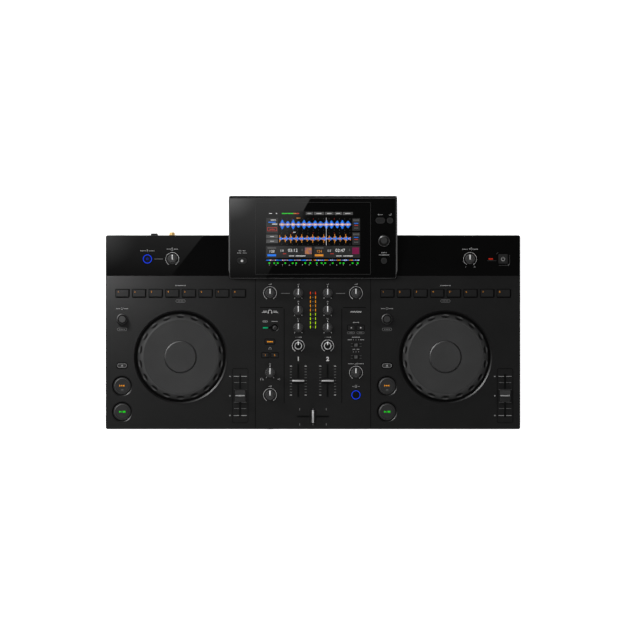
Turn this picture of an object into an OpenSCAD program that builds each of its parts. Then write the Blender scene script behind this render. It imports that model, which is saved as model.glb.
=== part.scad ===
// All-in-one DJ console: two decks, a two-channel mixer and a tilted touch screen.
// Millimetres. +X is the player's right, +Y is the rear, +Z is up.
// The origin lies on the table, in the middle of the object's box.
// Places on the panel are x from the middle and v from the front edge of the body.

/* [Body] */
// Width of the body
body_w = 624; // [612:1:650]
// Depth of the body without the overhang of the screen
body_d = 292; // [288:1:310]
// Height of the control panel over the table
panel_z = 48; // [47:0.5:56]
// Height of the upper case's side walls
upper_h = 12; // [11:0.5:13]
// Thickness of the control panel
panel_t = 3; // [2.8:0.1:3.4]
// Thickness of the side walls
wall = 2.5; // [2:0.1:3.5]
// Thickness of the bottom
floor_t = 2.5; // [2:0.1:3]
// Radius of the upright corners
corner_r = 3; // [2:0.5:6]
// Chamfer along the top edges
edge_c = 0.8; // [0.4:0.1:0.9]
// Chamfer along the bottom edges
base_c = 2.4; // [1:0.2:3]
// Height of the rubber feet
foot_h = 6; // [5:0.5:8]
// Radius of the rubber feet
foot_r = 13; // [10:0.5:16]
// Depth of the glossy band along the rear
gloss_d = 61.4; // [60:0.2:63]
// Thickness of the glossy sheet
gloss_t = 2; // [1.6:0.1:2.2]
// Rim of the upper case left round the glossy sheet
gloss_rim = 1; // [1:0.1:2]
// Distance of the panel seams from the middle
seam_x = 86.7; // [85:0.1:88]
// Width of the panel seams
seam_w = 0.8; // [0.4:0.1:1]
// Depth of the panel seams
seam_depth = 0.8; // [0.3:0.1:1]

/* [Screen] */
// Width of the screen slab
screen_w = 254; // [250:1:260]
// Length of the screen slab along its slope
screen_l = 128.2; // [126:0.1:132]
// Thickness of the screen slab
screen_t = 10; // [9.6:0.1:12]
// Tilt of the screen
screen_tilt = 15; // [12:0.5:18]
// Chamfer round the screen slab
screen_c = 1.6; // [1:0.1:1.8]
// Radius of the screen slab's corners
screen_r = 3.5; // [3:0.5:6]
// Thickness of the screen's front frame
screen_front_t = 2.4; // [2.2:0.1:2.6]
// Distance from the rear of the body forward to the screen's lower edge
screen_in = 64.1; // [62:0.1:66]
// Lift of the screen's lower edge over the panel
screen_lift = 1; // [0.6:0.1:2]
// Width of the touch glass
glass_w = 173.4; // [170:0.1:176]
// Length of the touch glass
glass_l = 112.2; // [110:0.1:114]
// Thickness of the touch glass
glass_t = 1.5; // [1.2:0.1:1.6]
// Width of the picture area
lcd_w = 143.2; // [140:0.1:146]
// Length of the picture area
lcd_l = 86; // [84:0.1:88]
// Width of the screen's stand
stand_w = 150; // [120:1:180]
// Depth of the screen's stand
stand_d = 46; // [40:1:48]

/* [Jog wheels] */
// Distance from the side of the body to the jog axis
jog_edge = 112.6; // [112:0.1:114]
// Distance from the front edge to the jog axis
jog_v = 108.7; // [107:0.1:110]
// Radius of the well round a jog wheel
well_r = 68; // [66.5:0.1:69]
// Width of the chamfer round the well
well_c = 2.2; // [1.6:0.1:2.6]
// Depth of the well
well_depth = 7; // [6.6:0.1:7.4]
// Radius of a jog wheel
jog_r = 65; // [63:0.1:66]
// Height of a jog wheel over the panel
jog_h = 10; // [9:0.1:11]
// Radius of the jog's top plate
plate_r = 55.6; // [54:0.1:57]
// Thickness of the jog's top plate
plate_t = 1.4; // [1.2:0.1:1.8]
// Radius of the raised disc on the top plate
disc_r = 24; // [22:0.1:28]
// Height of the raised disc
disc_h = 0.7; // [0.5:0.1:1]
// Number of finger dimples round the rim
dimple_count = 18; // [12:1:20]
// Radius of a dimple's hollow along the rim
dimple_long = 15; // [13:0.1:17]
// Radius of a dimple's hollow across the rim
dimple_cross = 6; // [5:0.1:7]
// Depth of a dimple
dimple_depth = 1.5; // [1:0.1:1.7]
// Radius of a jog's shaft
jog_shaft_r = 4; // [3:0.1:5]

/* [Deck controls] */
// Distance from a jog axis to the button column on its left
column_dx = 88; // [87:0.1:89]
// Distance from a jog axis to the tempo fader on its right
tempo_dx = 89.8; // [89:0.1:91]
// Distance from the front edge to the pad row
pad_v = 204.8; // [203:0.1:206]
// Spacing of the pads
pad_pitch = 25.06; // [24.6:0.02:25.4]
// Number of pads in a row
pad_count = 8; // [6:1:8]
// Width of a pad
pad_w = 19; // [18:0.1:20]
// Depth of a pad
pad_d = 10.8; // [10:0.1:12]
// Distance from the front edge to the loop knob
loop_v = 165.6; // [164:0.1:168]
// Radius of the loop knob
loop_r = 8.4; // [8:0.1:9]
// Distance from the front edge to the shift button
shift_v = 95.6; // [94:0.1:98]
// Width of the shift button
shift_w = 15.4; // [14:0.1:17]
// Depth of the shift button
shift_d = 7.4; // [7:0.1:9]
// Distance from the front edge to the cue button
cue_v = 65.1; // [64:0.1:66]
// Distance from the front edge to the play button
play_v = 26.1; // [25:0.1:27]
// Radius of the cue and play buttons
play_r = 12.9; // [12:0.1:13.5]
// Width of the chamfer round the cue and play buttons
play_c = 1.4; // [1:0.1:1.6]
// Distance from the front edge to the middle of the tempo fader
tempo_v = 50.4; // [50:0.1:52]
// Travel of the tempo fader
tempo_travel = 60; // [55:1:60]
// Width of the tempo fader's cap
tempo_w = 16.6; // [15:0.1:18]
// Depth of the tempo fader's cap
tempo_d = 19.4; // [18:0.1:21]
// Width of the shallow recess round the tempo fader
tempo_recess_w = 23.3; // [22:0.1:25]
// Length of the shallow recess round the tempo fader
tempo_recess_l = 81.4; // [80:0.1:84]
// Depth of the shallow recess round the tempo fader
tempo_recess_t = 1; // [0.4:0.1:1.2]

/* [Mixer] */
// Distance from the middle to the outer columns
outer_x = 64.7; // [64:0.1:66]
// Distance from the outer columns to the jog axes
jog_gap = 134.7; // [133:0.1:136]
// Distance from the middle to the channel columns
channel_x = 22.1; // [21:0.1:23]
// Distance from the front edge to the row of trim and high knobs
eq_v = 204.8; // [204:0.1:206]
// Distance from that row to the rear edge
rear_room = 87.2; // [86:0.1:89]
// Spacing of the equaliser knobs
eq_pitch = 26; // [25:0.1:26.4]
// Distance from the front edge to the colour knobs
color_v = 125.4; // [124:0.1:127]
// Distance from the front edge to the middle of the channel faders
fader_v = 73.1; // [72:0.1:75]
// Travel of the channel faders and the crossfader
fader_travel = 45; // [43:1:45]
// Width of a channel fader's cap across its travel
fader_w = 19.8; // [18:0.1:21]
// Depth of a channel fader's cap along its travel
fader_d = 7.2; // [6.6:0.1:8]
// Distance from the front edge to the crossfader
cross_v = 19; // [18:0.1:19.5]
// Distance from the front edge to the mix and depth knobs
mix_v = 85.1; // [84:0.1:87]
// Distance from the front edge to the phones level knob and the effect button
level_v = 51.5; // [50:0.1:53]
// Distance from the front edge to the keys below the headings
key_v = 152.6; // [151:0.1:154]
// Distance from the front edge to the master cue key
master_cue_v = 131.6; // [130:0.1:133]
// Distance from the front edge to the channel cue keys
cue_key_v = 111.4; // [110:0.1:113]
// Half the spacing of two keys side by side
key_dx = 7; // [6.8:0.1:7.2]
// Width of a small key
key_w = 10; // [9:0.1:10.4]
// Depth of a small key
key_d = 6.6; // [6:0.1:7]
// Width of the master cue key
wide_key_w = 13.4; // [12:0.1:15]
// Distance from the front edge to the rear slide switch
switch_v = 126.6; // [125:0.1:128]
// Spacing of the two slide switches
switch_pitch = 18; // [17:0.1:19]
// Width of a slide switch's recess
switch_w = 17.3; // [17:0.1:19]
// Depth of a slide switch's recess, front to rear
switch_d = 6.8; // [6.6:0.1:7.4]
// Travel of a slide switch to either side
switch_travel = 4; // [3:0.1:4.2]
// Distance from the front edge to the heading grooves
groove_v = 183.2; // [182:0.1:185]
// Distance from the middle to the upright grooves
groove_x = 43.4; // [42:0.1:45]
// Rows of the level meter
meter_rows = 9; // [5:1:9]
// Spacing of the level meter's rows
meter_pitch = 6.39; // [6:0.01:6.5]
// Width of a light of the level meter
meter_w = 1.8; // [1.6:0.1:2]
// Depth of a light of the level meter
meter_d = 4.5; // [4:0.1:5]
// Distance of the level meter's columns from the middle
meter_x = 3.85; // [3.4:0.05:4.2]

/* [Rear band controls] */
// Distance from the rear of the body to the row of controls
row_in = 35.8; // [35:0.1:38]
// Distance from the side of the body to the microphone button
mic_button_in = 62.7; // [61:0.1:64]
// Distance from the side of the body to the microphone knob
mic_knob_in = 100.2; // [99:0.1:102]
// Distance from the side of the body to the master knob
master_in = 75.5; // [74:0.1:77]
// Distance from the side of the body to the power button
power_in = 25.8; // [25:0.1:27]
// Side of the power button
power_w = 13.8; // [13:0.1:14.4]
// Side of the recess round the power button
power_recess_w = 19.3; // [18.6:0.1:20]
// Outer radius of the lit rings
ring_r = 7.4; // [7.2:0.1:7.8]
// Radius of the buttons inside the lit rings
ring_button_r = 5.5; // [5:0.1:5.6]

/* [Knobs] */
// Radius of a knob's skirt
knob_r = 7.6; // [7.2:0.1:8]
// Radius of a knob at its top
knob_top_r = 5.5; // [5.2:0.1:5.8]
// Height of a knob over the panel
knob_h = 14; // [12:0.5:16]
// Width of the pointer groove
pointer_w = 1.8; // [1.2:0.1:2]
// Radius of a knob's shaft
shaft_r = 3; // [2.6:0.1:3]
// Number of flutes round a knob
flute_count = 12; // [8:1:14]
// Radius of the browse knob on the screen
browse_r = 9; // [8.6:0.1:9.4]
// Height of the browse knob over the screen
browse_h = 8.5; // [7:0.1:10]

/* [Jacks] */
// Distance from the side of the body to the microphone jack
mic_jack_in = 73.2; // [72:0.1:75]
// Distance from the side of the body to the auxiliary sockets
aux_in = 99.8; // [99:0.1:101]
// Radius of a phono socket's barrel
phono_r = 4.15; // [4.1:0.01:4.2]
// Radius of the flange at a phono barrel's root
phono_flange_r = 4.9; // [4.6:0.1:4.9]
// Reach of the phono barrels past the rear edge
phono_reach = 4.3; // [3:0.1:5]
// Radius of the microphone jack's collar
mic_collar_r = 5.15; // [5:0.05:5.4]
// Radius of the microphone jack's bore
mic_bore_r = 3.25; // [3.2:0.01:3.3]
// Reach of the microphone jack past the rear edge
mic_reach = 2.7; // [2:0.1:4]
// Depth of the bay that the jacks stand in
bay_depth = 5; // [4:0.1:6]
// Radius of the phones jack's collar
phones_collar_r = 4; // [3.6:0.1:4.4]
// Radius of the phones jack's bore
phones_bore_r = 1.8; // [1.78:0.01:1.85]
// Reach of the phones jack past the front edge
phones_reach = 0.3; // [0.2:0.1:0.6]

/* [Hidden] */
$fn = 64;
gap = 0.35;
fit = 0.1;
running = 0.05;
flange_t = 1.2;
flange_w = 1.1;
knob_gap = 0.8;
cap_gap = 0.8;
small_travel = 0.8;
play_travel = 1.2;
pad_travel = 1;
power_travel = 1.6;
key_rise = 1.2;
play_rise = 0.8;
dip = 0.47;
pad_trench = 0.9;
pad_trench_t = 1.3;
key_c = 0.5;
key_corner = 0.8;
stem_t = 1.2;
stem_w = 4;
cross_stem_w = 2.6;
slot_end = 0.4;
slot_side = 0.65;
board_t = 1.6;
board_z = panel_z - 20;
board_top = board_z + board_t;
tact_h = 3.5;
nub_h = 1;
nub_r = 1.7;
plunger_r = 1.6;
pot_w = 9.6;
pot_h = 7;
bush_r = 4.6;
slide_h = 7;
slide_w = 8;
cup_t = 2;
split_z = panel_z - upper_h;
floor_z = foot_h + floor_t;
boss_r = 4;
column_r = 4.5;
boss_z = split_z - 10;
screw_r = 1.5;
screw_head_r = 2.8;
screw_head_h = 2;
screw_seat = 6;
screw_l = 14;
post_r = 3.5;
post_in = 6;
post_end = 8;
usb_w = 13.2;
usb_h = 5.8;
usb_d = 14.5;
usb_t = 0.6;
tongue_d = 9;
tongue_t = 1.6;
phono_block = 11;
mat_rim = 1;
bearing_r = 9;
bearing_top = split_z + 1;
bearing_end = floor_z + 5.5;
lens_t = 2.4;
groove_w = 0.9;
groove_r = 2;
main_board_z = foot_h + 6;
screen_board_t = 1.2;
low_tact_h = 1.8;
jog_x = col(outer_x + jog_gap);
screen_v = body_d - screen_in;
screen_z = panel_z + screen_lift;
screen_end_v = screen_v + screen_l * cos(screen_tilt) - screen_c * sin(screen_tilt);
front_y = phones_reach - (phones_reach + screen_end_v) / 2;
row_v = body_d - row_in;
mic_button_x = mic_button_in - body_w / 2;
mic_knob_x = mic_knob_in - body_w / 2;
master_x = body_w / 2 - master_in;
power_x = body_w / 2 - power_in;
mic_jack_x = mic_jack_in - body_w / 2;
aux_x = aux_in - body_w / 2;
master_jack_x = -96;
usb_x = -48;
link_usb_x = -12;
inlet_x = 26;
phono_z = [floor_z + 7.5, floor_z + 20];
jack_z = floor_z + 13;
bay_x = [mic_jack_x - 26, inlet_x + 20];
bay_z = [foot_h + 4.5, split_z - 2.5];
bay_v = body_d - bay_depth;
bay_wall_v = bay_v - wall;
phones_z = foot_h + 16;
link_x = 7.1 - col(outer_x);
screw_v = [12, 146, body_d - 16];
inner_screw_v = [12, row(eq_v) + 10.2];
inner_screw_x = col(seam_x) + 1.3;
screw_x = body_w / 2 - 9;
deck_in = col(seam_x) + 8.3;
deck_out = body_w / 2 - 16;
deck_v = [12, body_d - 24];
mixer_half = col(outer_x) + 16.3;
mixer_v = [10, row(eq_v) + 17.2];
main_board_v = [body_d - 58, bay_wall_v - 0.6];
screen_keys_x = (screen_w + glass_w) / 4;
screen_board_w = screen_w - 2 * screen_keys_x - 10;
screen_front_u = 29.2;
browse_u = 61.7;
screen_rear_u = 91.9;
screen_key_d = 9.3;
case_color = [0.15, 0.15, 0.16];
gloss_color = [0.05, 0.05, 0.06];
rubber_color = [0.09, 0.09, 0.1];
metal_color = [0.75, 0.73, 0.68];
board_color = [0.05, 0.3, 0.15];
cap_color = [0.2, 0.2, 0.21];
light_color = [0.4, 0.8, 0.9];

SIDES = [["left", -1], ["right", 1]];

// Knobs on pots: name, x and v
KNOBS = [
    ["mic_knob", mic_knob_x, row_v],
    ["master_knob", master_x, row_v],
    ["trim_knob_1", -col(outer_x), row(eq_v)],
    ["trim_knob_2", col(outer_x), row(eq_v)],
    ["high_knob_1", -col(channel_x), row(eq_v)],
    ["high_knob_2", col(channel_x), row(eq_v)],
    ["mid_knob_1", -col(channel_x), row(eq_v - eq_pitch)],
    ["mid_knob_2", col(channel_x), row(eq_v - eq_pitch)],
    ["low_knob_1", -col(channel_x), row(eq_v - 2 * eq_pitch)],
    ["low_knob_2", col(channel_x), row(eq_v - 2 * eq_pitch)],
    ["color_knob_1", -col(channel_x), row(color_v)],
    ["color_knob_2", col(channel_x), row(color_v)],
    ["phones_mix_knob", -col(outer_x), row(mix_v)],
    ["phones_level_knob", -col(outer_x), row(level_v)],
    ["fx_depth_knob", col(outer_x), row(mix_v)],
];

// Endless knobs on the decks: name, x and v
LOOPS = [
    for (s = SIDES) [str("loop_knob_", s[0]), s[1] * jog_x - col(column_dx), row(loop_v)],
];

// Buttons on the flat panel: name, x, v, shape, width, depth, rise and travel
BUTTONS = [
    for (s = SIDES) [str("shift_button_", s[0]), s[1] * jog_x - col(column_dx), row(shift_v),
        "oval", shift_w, shift_d, key_rise, small_travel],
    for (s = SIDES) [str("cue_button_", s[0]), s[1] * jog_x - col(column_dx), row(cue_v),
        "round", 2 * play_r, 2 * play_r, play_rise, play_travel],
    for (s = SIDES) [str("play_button_", s[0]), s[1] * jog_x - col(column_dx), row(play_v),
        "round", 2 * play_r, 2 * play_r, play_rise, play_travel],
    ["phones_master_key", -col(outer_x), row(master_cue_v),
        "rect", wide_key_w, key_d, key_rise, small_travel],
    ["link_button", link_x, row(key_v), "round", 7.4, 7.4, 0.6, small_travel],
    ["fx_on_button", col(outer_x), row(level_v),
        "round", 2 * ring_button_r, 2 * ring_button_r, key_rise, small_travel],
    ["mic_button", mic_button_x, row_v,
        "round", 2 * ring_button_r, 2 * ring_button_r, key_rise, small_travel],
    ["power_button", power_x, row_v, "rect", power_w, power_w, key_rise, power_travel],
];

// Two keys on one bar: name, x and v of the bar's middle
TWIN_KEYS = [
    ["phones_cue_keys", -col(outer_x), row(cue_key_v)],
    ["beat_keys", col(outer_x), row(key_v)],
];

// Buttons on the screen's front: name, x, u, shape, width and depth
SCREEN_KEYS = [
    ["source_button", -screen_keys_x, screen_front_u, "oval", 15, screen_key_d],
    ["back_button", screen_keys_x - 5.5, screen_rear_u, "oval", 14.3, screen_key_d],
    ["tag_button", screen_keys_x + 9.1, screen_rear_u, "round", screen_key_d, screen_key_d],
    ["menu_button", screen_keys_x, screen_front_u, "round", screen_key_d, screen_key_d],
];

// Slide switches: name, x and v
SWITCHES = [
    ["fx_type_switch", col(outer_x), row(switch_v)],
    ["fx_channel_switch", col(outer_x), row(switch_v - switch_pitch)],
];

SCREWS = [
    for (s = SIDES) for (v = screw_v) [s[1] * screw_x, v],
    for (s = SIDES) for (v = inner_screw_v) [s[1] * inner_screw_x, v],
];

POSTS = [
    for (s = SIDES) [s[1] * (deck_out - post_in), deck_v[0] + post_end],
    for (s = SIDES) [s[1] * (deck_out - post_in), deck_v[1] - post_end],
    for (s = SIDES) [s[1] * (deck_in + post_in), deck_v[0] + post_end],
    for (s = SIDES) [s[1] * (deck_in + post_in), mixer_v[1]],
    for (s = SIDES) for (v = [mixer_v[0] + post_end, mixer_v[1] - post_end])
        [s[1] * (mixer_half - post_in), v],
];

// Place of a row when the depth of the body changes
function row(v) = v * body_d / (eq_v + rear_room);

// Place of a column when the width of the body changes
function col(x) = x * body_w / (2 * (outer_x + jog_gap + jog_edge));

// Place of a pad in its row
function pad_x(i) = (i - (pad_count - 1) / 2) * col(pad_pitch);

function side_points(half, h, c, c_low) = concat(
    c_low > 0 ? [[half - c_low, 0], [half, c_low]] : [[half, 0]],
    c > 0 ? [[half, h - c], [half - c, h], [c - half, h], [-half, h - c]] : [[half, h], [-half, h]],
    c_low > 0 ? [[-half, c_low], [c_low - half, 0]] : [[-half, 0]]
);

function disc_points(r, h, c) = [[0, 0], [r, 0], [r, h - c], [r - c, h], [0, h]];

// Places children on the panel's map
module at(x, v, z) {
    translate([x, front_y + v, z]) children();
}

// Places children in the screen's frame, whose third axis is normal to its front
module on_screen(x, u, w) {
    at(0, screen_v, screen_z) rotate([screen_tilt, 0, 0]) translate([x, u, w]) children();
}

module rounded_rect(w, d, r) {
    square([w - 2 * r, d], center = true);
    square([w, d - 2 * r], center = true);
    for (sx = [-1, 1]) for (sy = [-1, 1]) translate([sx * (w / 2 - r), sy * (d / 2 - r)]) circle(r);
}

module oval(w, d) {
    square([w - d, d], center = true);
    for (sx = [-1, 1]) translate([sx * (w - d) / 2, 0]) circle(d = d);
}

module middle_box(w, d, h) {
    translate([-w / 2, -d / 2, 0]) cube([w, d, h]);
}

// Profile across x and z, drawn out along y
module along_y(len) {
    rotate([90, 0, 0]) translate([0, 0, -len / 2]) linear_extrude(len) children();
}

// Profile across y and z, drawn out along x
module along_x(len) {
    rotate([90, 0, 90]) translate([0, 0, -len / 2]) linear_extrude(len) children();
}

// Block with rounded upright corners and chamfers at its top and bottom
module bevel_block(w, d, h, r, c, c_low = 0) {
    intersection() {
        linear_extrude(h) rounded_rect(w, d, r);
        along_y(d + 1) polygon(side_points(w / 2, h, c, c_low));
        along_x(w + 1) polygon(side_points(d / 2, h, c, c_low));
    }
}

module bevel_disc(r, h, c) {
    rotate_extrude() polygon(disc_points(r, h, c));
}

module bevel_oval(w, d, h, c) {
    along_x(w - d) polygon(side_points(d / 2, h, c, 0));
    for (sx = [-1, 1]) translate([sx * (w - d) / 2, 0, 0]) bevel_disc(d / 2, h, c);
}

module key_outline(shape, w, d, grow) {
    if (shape == "round") circle(d = w + 2 * grow);
    if (shape == "oval") oval(w + 2 * grow, d + 2 * grow);
    if (shape == "rect") rounded_rect(w + 2 * grow, d + 2 * grow, key_corner + grow);
}

module key_block(shape, w, d, h) {
    if (shape == "round") bevel_disc(w / 2, h, key_c);
    if (shape == "oval") bevel_oval(w, d, h, key_c);
    if (shape == "rect") bevel_block(w, d, h, key_corner, key_c);
}

// Cap, retaining flange and plunger of a button whose origin is the panel's top
module button(shape, w, d, rise, travel) {
    flange_top = -panel_t - gap;
    plunger_z = board_top + tact_h + nub_h + travel + gap - panel_z;
    translate([0, 0, flange_top - flange_t]) linear_extrude(flange_t) key_outline(shape, w, d, flange_w);
    translate([0, 0, flange_top - flange_t]) key_block(shape, w, d, rise - flange_top + flange_t);
    translate([0, 0, plunger_z]) cylinder(r = plunger_r, h = flange_top - flange_t / 2 - plunger_z);
}

module button_hole(shape, w, d) {
    translate([0, 0, -panel_t - 1]) linear_extrude(panel_t + 2) key_outline(shape, w, d, gap);
}

// Knob with a fluted skirt, a pointer groove and its shaft; the origin is the panel's top
module knob() {
    shaft_end = board_top + pot_h - 4.6 - panel_z;
    difference() {
        rotate_extrude() polygon([
            [0, knob_gap],
            [knob_r - 0.4, knob_gap],
            [knob_r, knob_gap + 0.4],
            [knob_r, knob_gap + 2.2],
            [knob_r - 0.5, knob_gap + 2.7],
            [knob_top_r + 0.9, knob_gap + 3.1],
            [knob_top_r + 0.4, knob_h - 0.9],
            [knob_top_r - 0.4, knob_h],
            [0, knob_h],
        ]);
        for (i = [0:flute_count - 1]) rotate([0, 0, (i + 0.5) * 360 / flute_count])
            translate([knob_top_r + 1.2, 0, knob_gap + 3.5]) cylinder(r = 1, h = knob_h);
        translate([-pointer_w / 2, -1.5, knob_h - 0.4]) cube([pointer_w, knob_r + 1.5, 1]);
    }
    translate([0, 0, shaft_end]) cylinder(r = shaft_r, h = knob_gap + 1 - shaft_end);
}

// Endless knob with a dished top; the origin is the surface below it
module endless_knob(r, h, shaft_end) {
    difference() {
        rotate_extrude() polygon([
            [0, knob_gap],
            [r - 0.4, knob_gap],
            [r, knob_gap + 0.4],
            [r, knob_gap + 1.8],
            [r - 0.6, knob_gap + 2.4],
            [r - 0.9, h - 0.9],
            [r - 1.8, h],
            [r - 2.2, h],
            [r - 2.9, h - 0.6],
            [0, h - 0.6],
        ]);
        for (i = [0:17]) rotate([0, 0, i * 20])
            translate([r - 0.3, 0, knob_gap + 2.4]) cylinder(r = 0.9, h = h);
    }
    translate([0, 0, shaft_end]) cylinder(r = shaft_r - 0.5, h = knob_gap + 1 - shaft_end);
}

// Slot-guided cap with a ridge across the travel, which runs along y
module ridge_cap(w, d, ridge, rise) {
    intersection() {
        along_x(w) polygon([
            [-d / 2, cap_gap],
            [d / 2, cap_gap],
            [d / 2, cap_gap + 3],
            [ridge / 2, rise - 0.4],
            [ridge / 2 - 0.4, rise],
            [0.4 - ridge / 2, rise],
            [-ridge / 2, rise - 0.4],
            [-d / 2, cap_gap + 3],
        ]);
        along_y(d) polygon([
            [-w / 2, 0],
            [w / 2, 0],
            [w / 2, cap_gap + 3],
            [w / 2 - 0.8, rise],
            [0.8 - w / 2, rise],
            [-w / 2, cap_gap + 3],
        ]);
    }
}

// Blade of a fader, from inside its slide pot up into its cap
module stem(w) {
    stem_z = board_top + slide_h - 4 - panel_z;
    translate([-stem_t / 2, -w / 2, stem_z]) cube([stem_t, w, cap_gap + 1 - stem_z]);
}

module slot_hole(travel, w) {
    len = travel + w + 2 * slot_end;
    translate([0, 0, -panel_t - 1]) middle_box(stem_t + 2 * slot_side, len, panel_t + 2);
}

// Slide pot for a blade that travels along y
module slide_pot(travel, w) {
    difference() {
        middle_box(slide_w, travel + 14, slide_h);
        translate([0, 0, slide_h - 5]) middle_box(stem_t + 0.8, travel + w + 0.8, 6);
    }
}

module pot() {
    difference() {
        union() {
            middle_box(pot_w, pot_w, pot_h);
            cylinder(r = bush_r, h = panel_z - panel_t - 2 - board_top);
        }
        translate([0, 0, pot_h - 5]) cylinder(r = shaft_r + gap, h = 20);
    }
}

module encoder() {
    difference() {
        union() {
            middle_box(pot_w, pot_w, pot_h);
            cylinder(r = bush_r, h = panel_z - panel_t - 2 - board_top);
        }
        translate([0, 0, pot_h - 5]) cylinder(r = shaft_r - 0.5 + gap, h = 20);
    }
}

module tact(h) {
    middle_box(6, 6, h);
    cylinder(r = nub_r, h = h + nub_h);
}

module bottom_case() color(case_color) {
    bay_l = bay_x[1] - bay_x[0];
    bay_mid = (bay_x[0] + bay_x[1]) / 2;
    difference() {
        union() {
            difference() {
                at(0, body_d / 2, foot_h) bevel_block(body_w, body_d, split_z - foot_h, corner_r, 0, base_c);
                at(0, body_d / 2, floor_z) middle_box(body_w - 2 * wall, body_d - 2 * wall, panel_z);
            }
            at(bay_x[0] - wall, bay_wall_v, foot_h + 1)
                cube([bay_l + 2 * wall, bay_depth + wall - 1, split_z - foot_h - 1]);
            for (p = SCREWS) at(p[0], p[1], foot_h + 1) cylinder(r = column_r, h = boss_z - foot_h - 1);
            for (p = POSTS) at(p[0], p[1], foot_h + 1) cylinder(r = post_r, h = board_z - foot_h - 1);
            for (x = [bay_x[0] + 12, bay_mid, bay_x[1] - 12]) at(x, main_board_v[0] + 6, foot_h + 1)
                cylinder(r = post_r, h = main_board_z - foot_h - 1);
            for (s = SIDES) at(s[1] * jog_x, row(jog_v), foot_h + 1)
                cylinder(r = bearing_r, h = bearing_top - foot_h - 1);
        }
        at(bay_x[0], bay_v, bay_z[0]) cube([bay_l, bay_depth + 1, bay_z[1] - bay_z[0]]);
        for (p = SCREWS) at(p[0], p[1], foot_h - 1)
            cylinder(r = screw_head_r + 0.4, h = boss_z - screw_seat - foot_h + 1);
        for (p = SCREWS) at(p[0], p[1], foot_h) cylinder(r = screw_r + 0.2, h = panel_z);
        for (s = SIDES) at(s[1] * jog_x, row(jog_v), bearing_end)
            cylinder(r = jog_shaft_r + running, h = panel_z);
        for (x = [aux_x, master_jack_x]) for (z = phono_z) at(x, bay_v + 1, z)
            rotate([90, 0, 0]) cylinder(r = phono_r + fit, h = wall + 2);
        at(mic_jack_x, bay_v + 1, jack_z) rotate([90, 0, 0]) cylinder(r = mic_collar_r + fit, h = wall + 2);
        for (x = [usb_x, link_usb_x]) at(x, bay_wall_v - 1, jack_z)
            translate([-usb_w / 2 - 0.4, 0, -usb_h / 2 - 1.1]) cube([usb_w + 0.8, wall + 2, usb_h + 2.2]);
        at(inlet_x, bay_v + 1, jack_z) rotate([90, 0, 0]) cylinder(r = 5 + fit, h = wall + 2);
        at(-col(outer_x), wall + 1, phones_z) rotate([90, 0, 0])
            cylinder(r = phones_collar_r + fit, h = wall + 2);
    }
}

module panel_grooves() {
    arm = col(outer_x - groove_x) + 15;
    drop = row(groove_v) - 39.2;
    for (sx = [-1, 1]) {
        at(sx * col(seam_x) - seam_w / 2, -1, panel_z - seam_depth) cube([seam_w, body_d - gloss_d + 2, 2]);
        at(sx * (col(groove_x) + arm), row(groove_v) - drop, panel_z - seam_depth)
            linear_extrude(2) intersection() {
                difference() {
                    rounded_rect(2 * arm + groove_w, 2 * drop + groove_w, groove_r + groove_w / 2);
                    rounded_rect(2 * arm - groove_w, 2 * drop - groove_w, groove_r - groove_w / 2);
                }
                translate([-sx * (arm / 2 + 1), drop / 2 + 1]) square([arm + 2, drop + 2], center = true);
            }
    }
}

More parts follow.
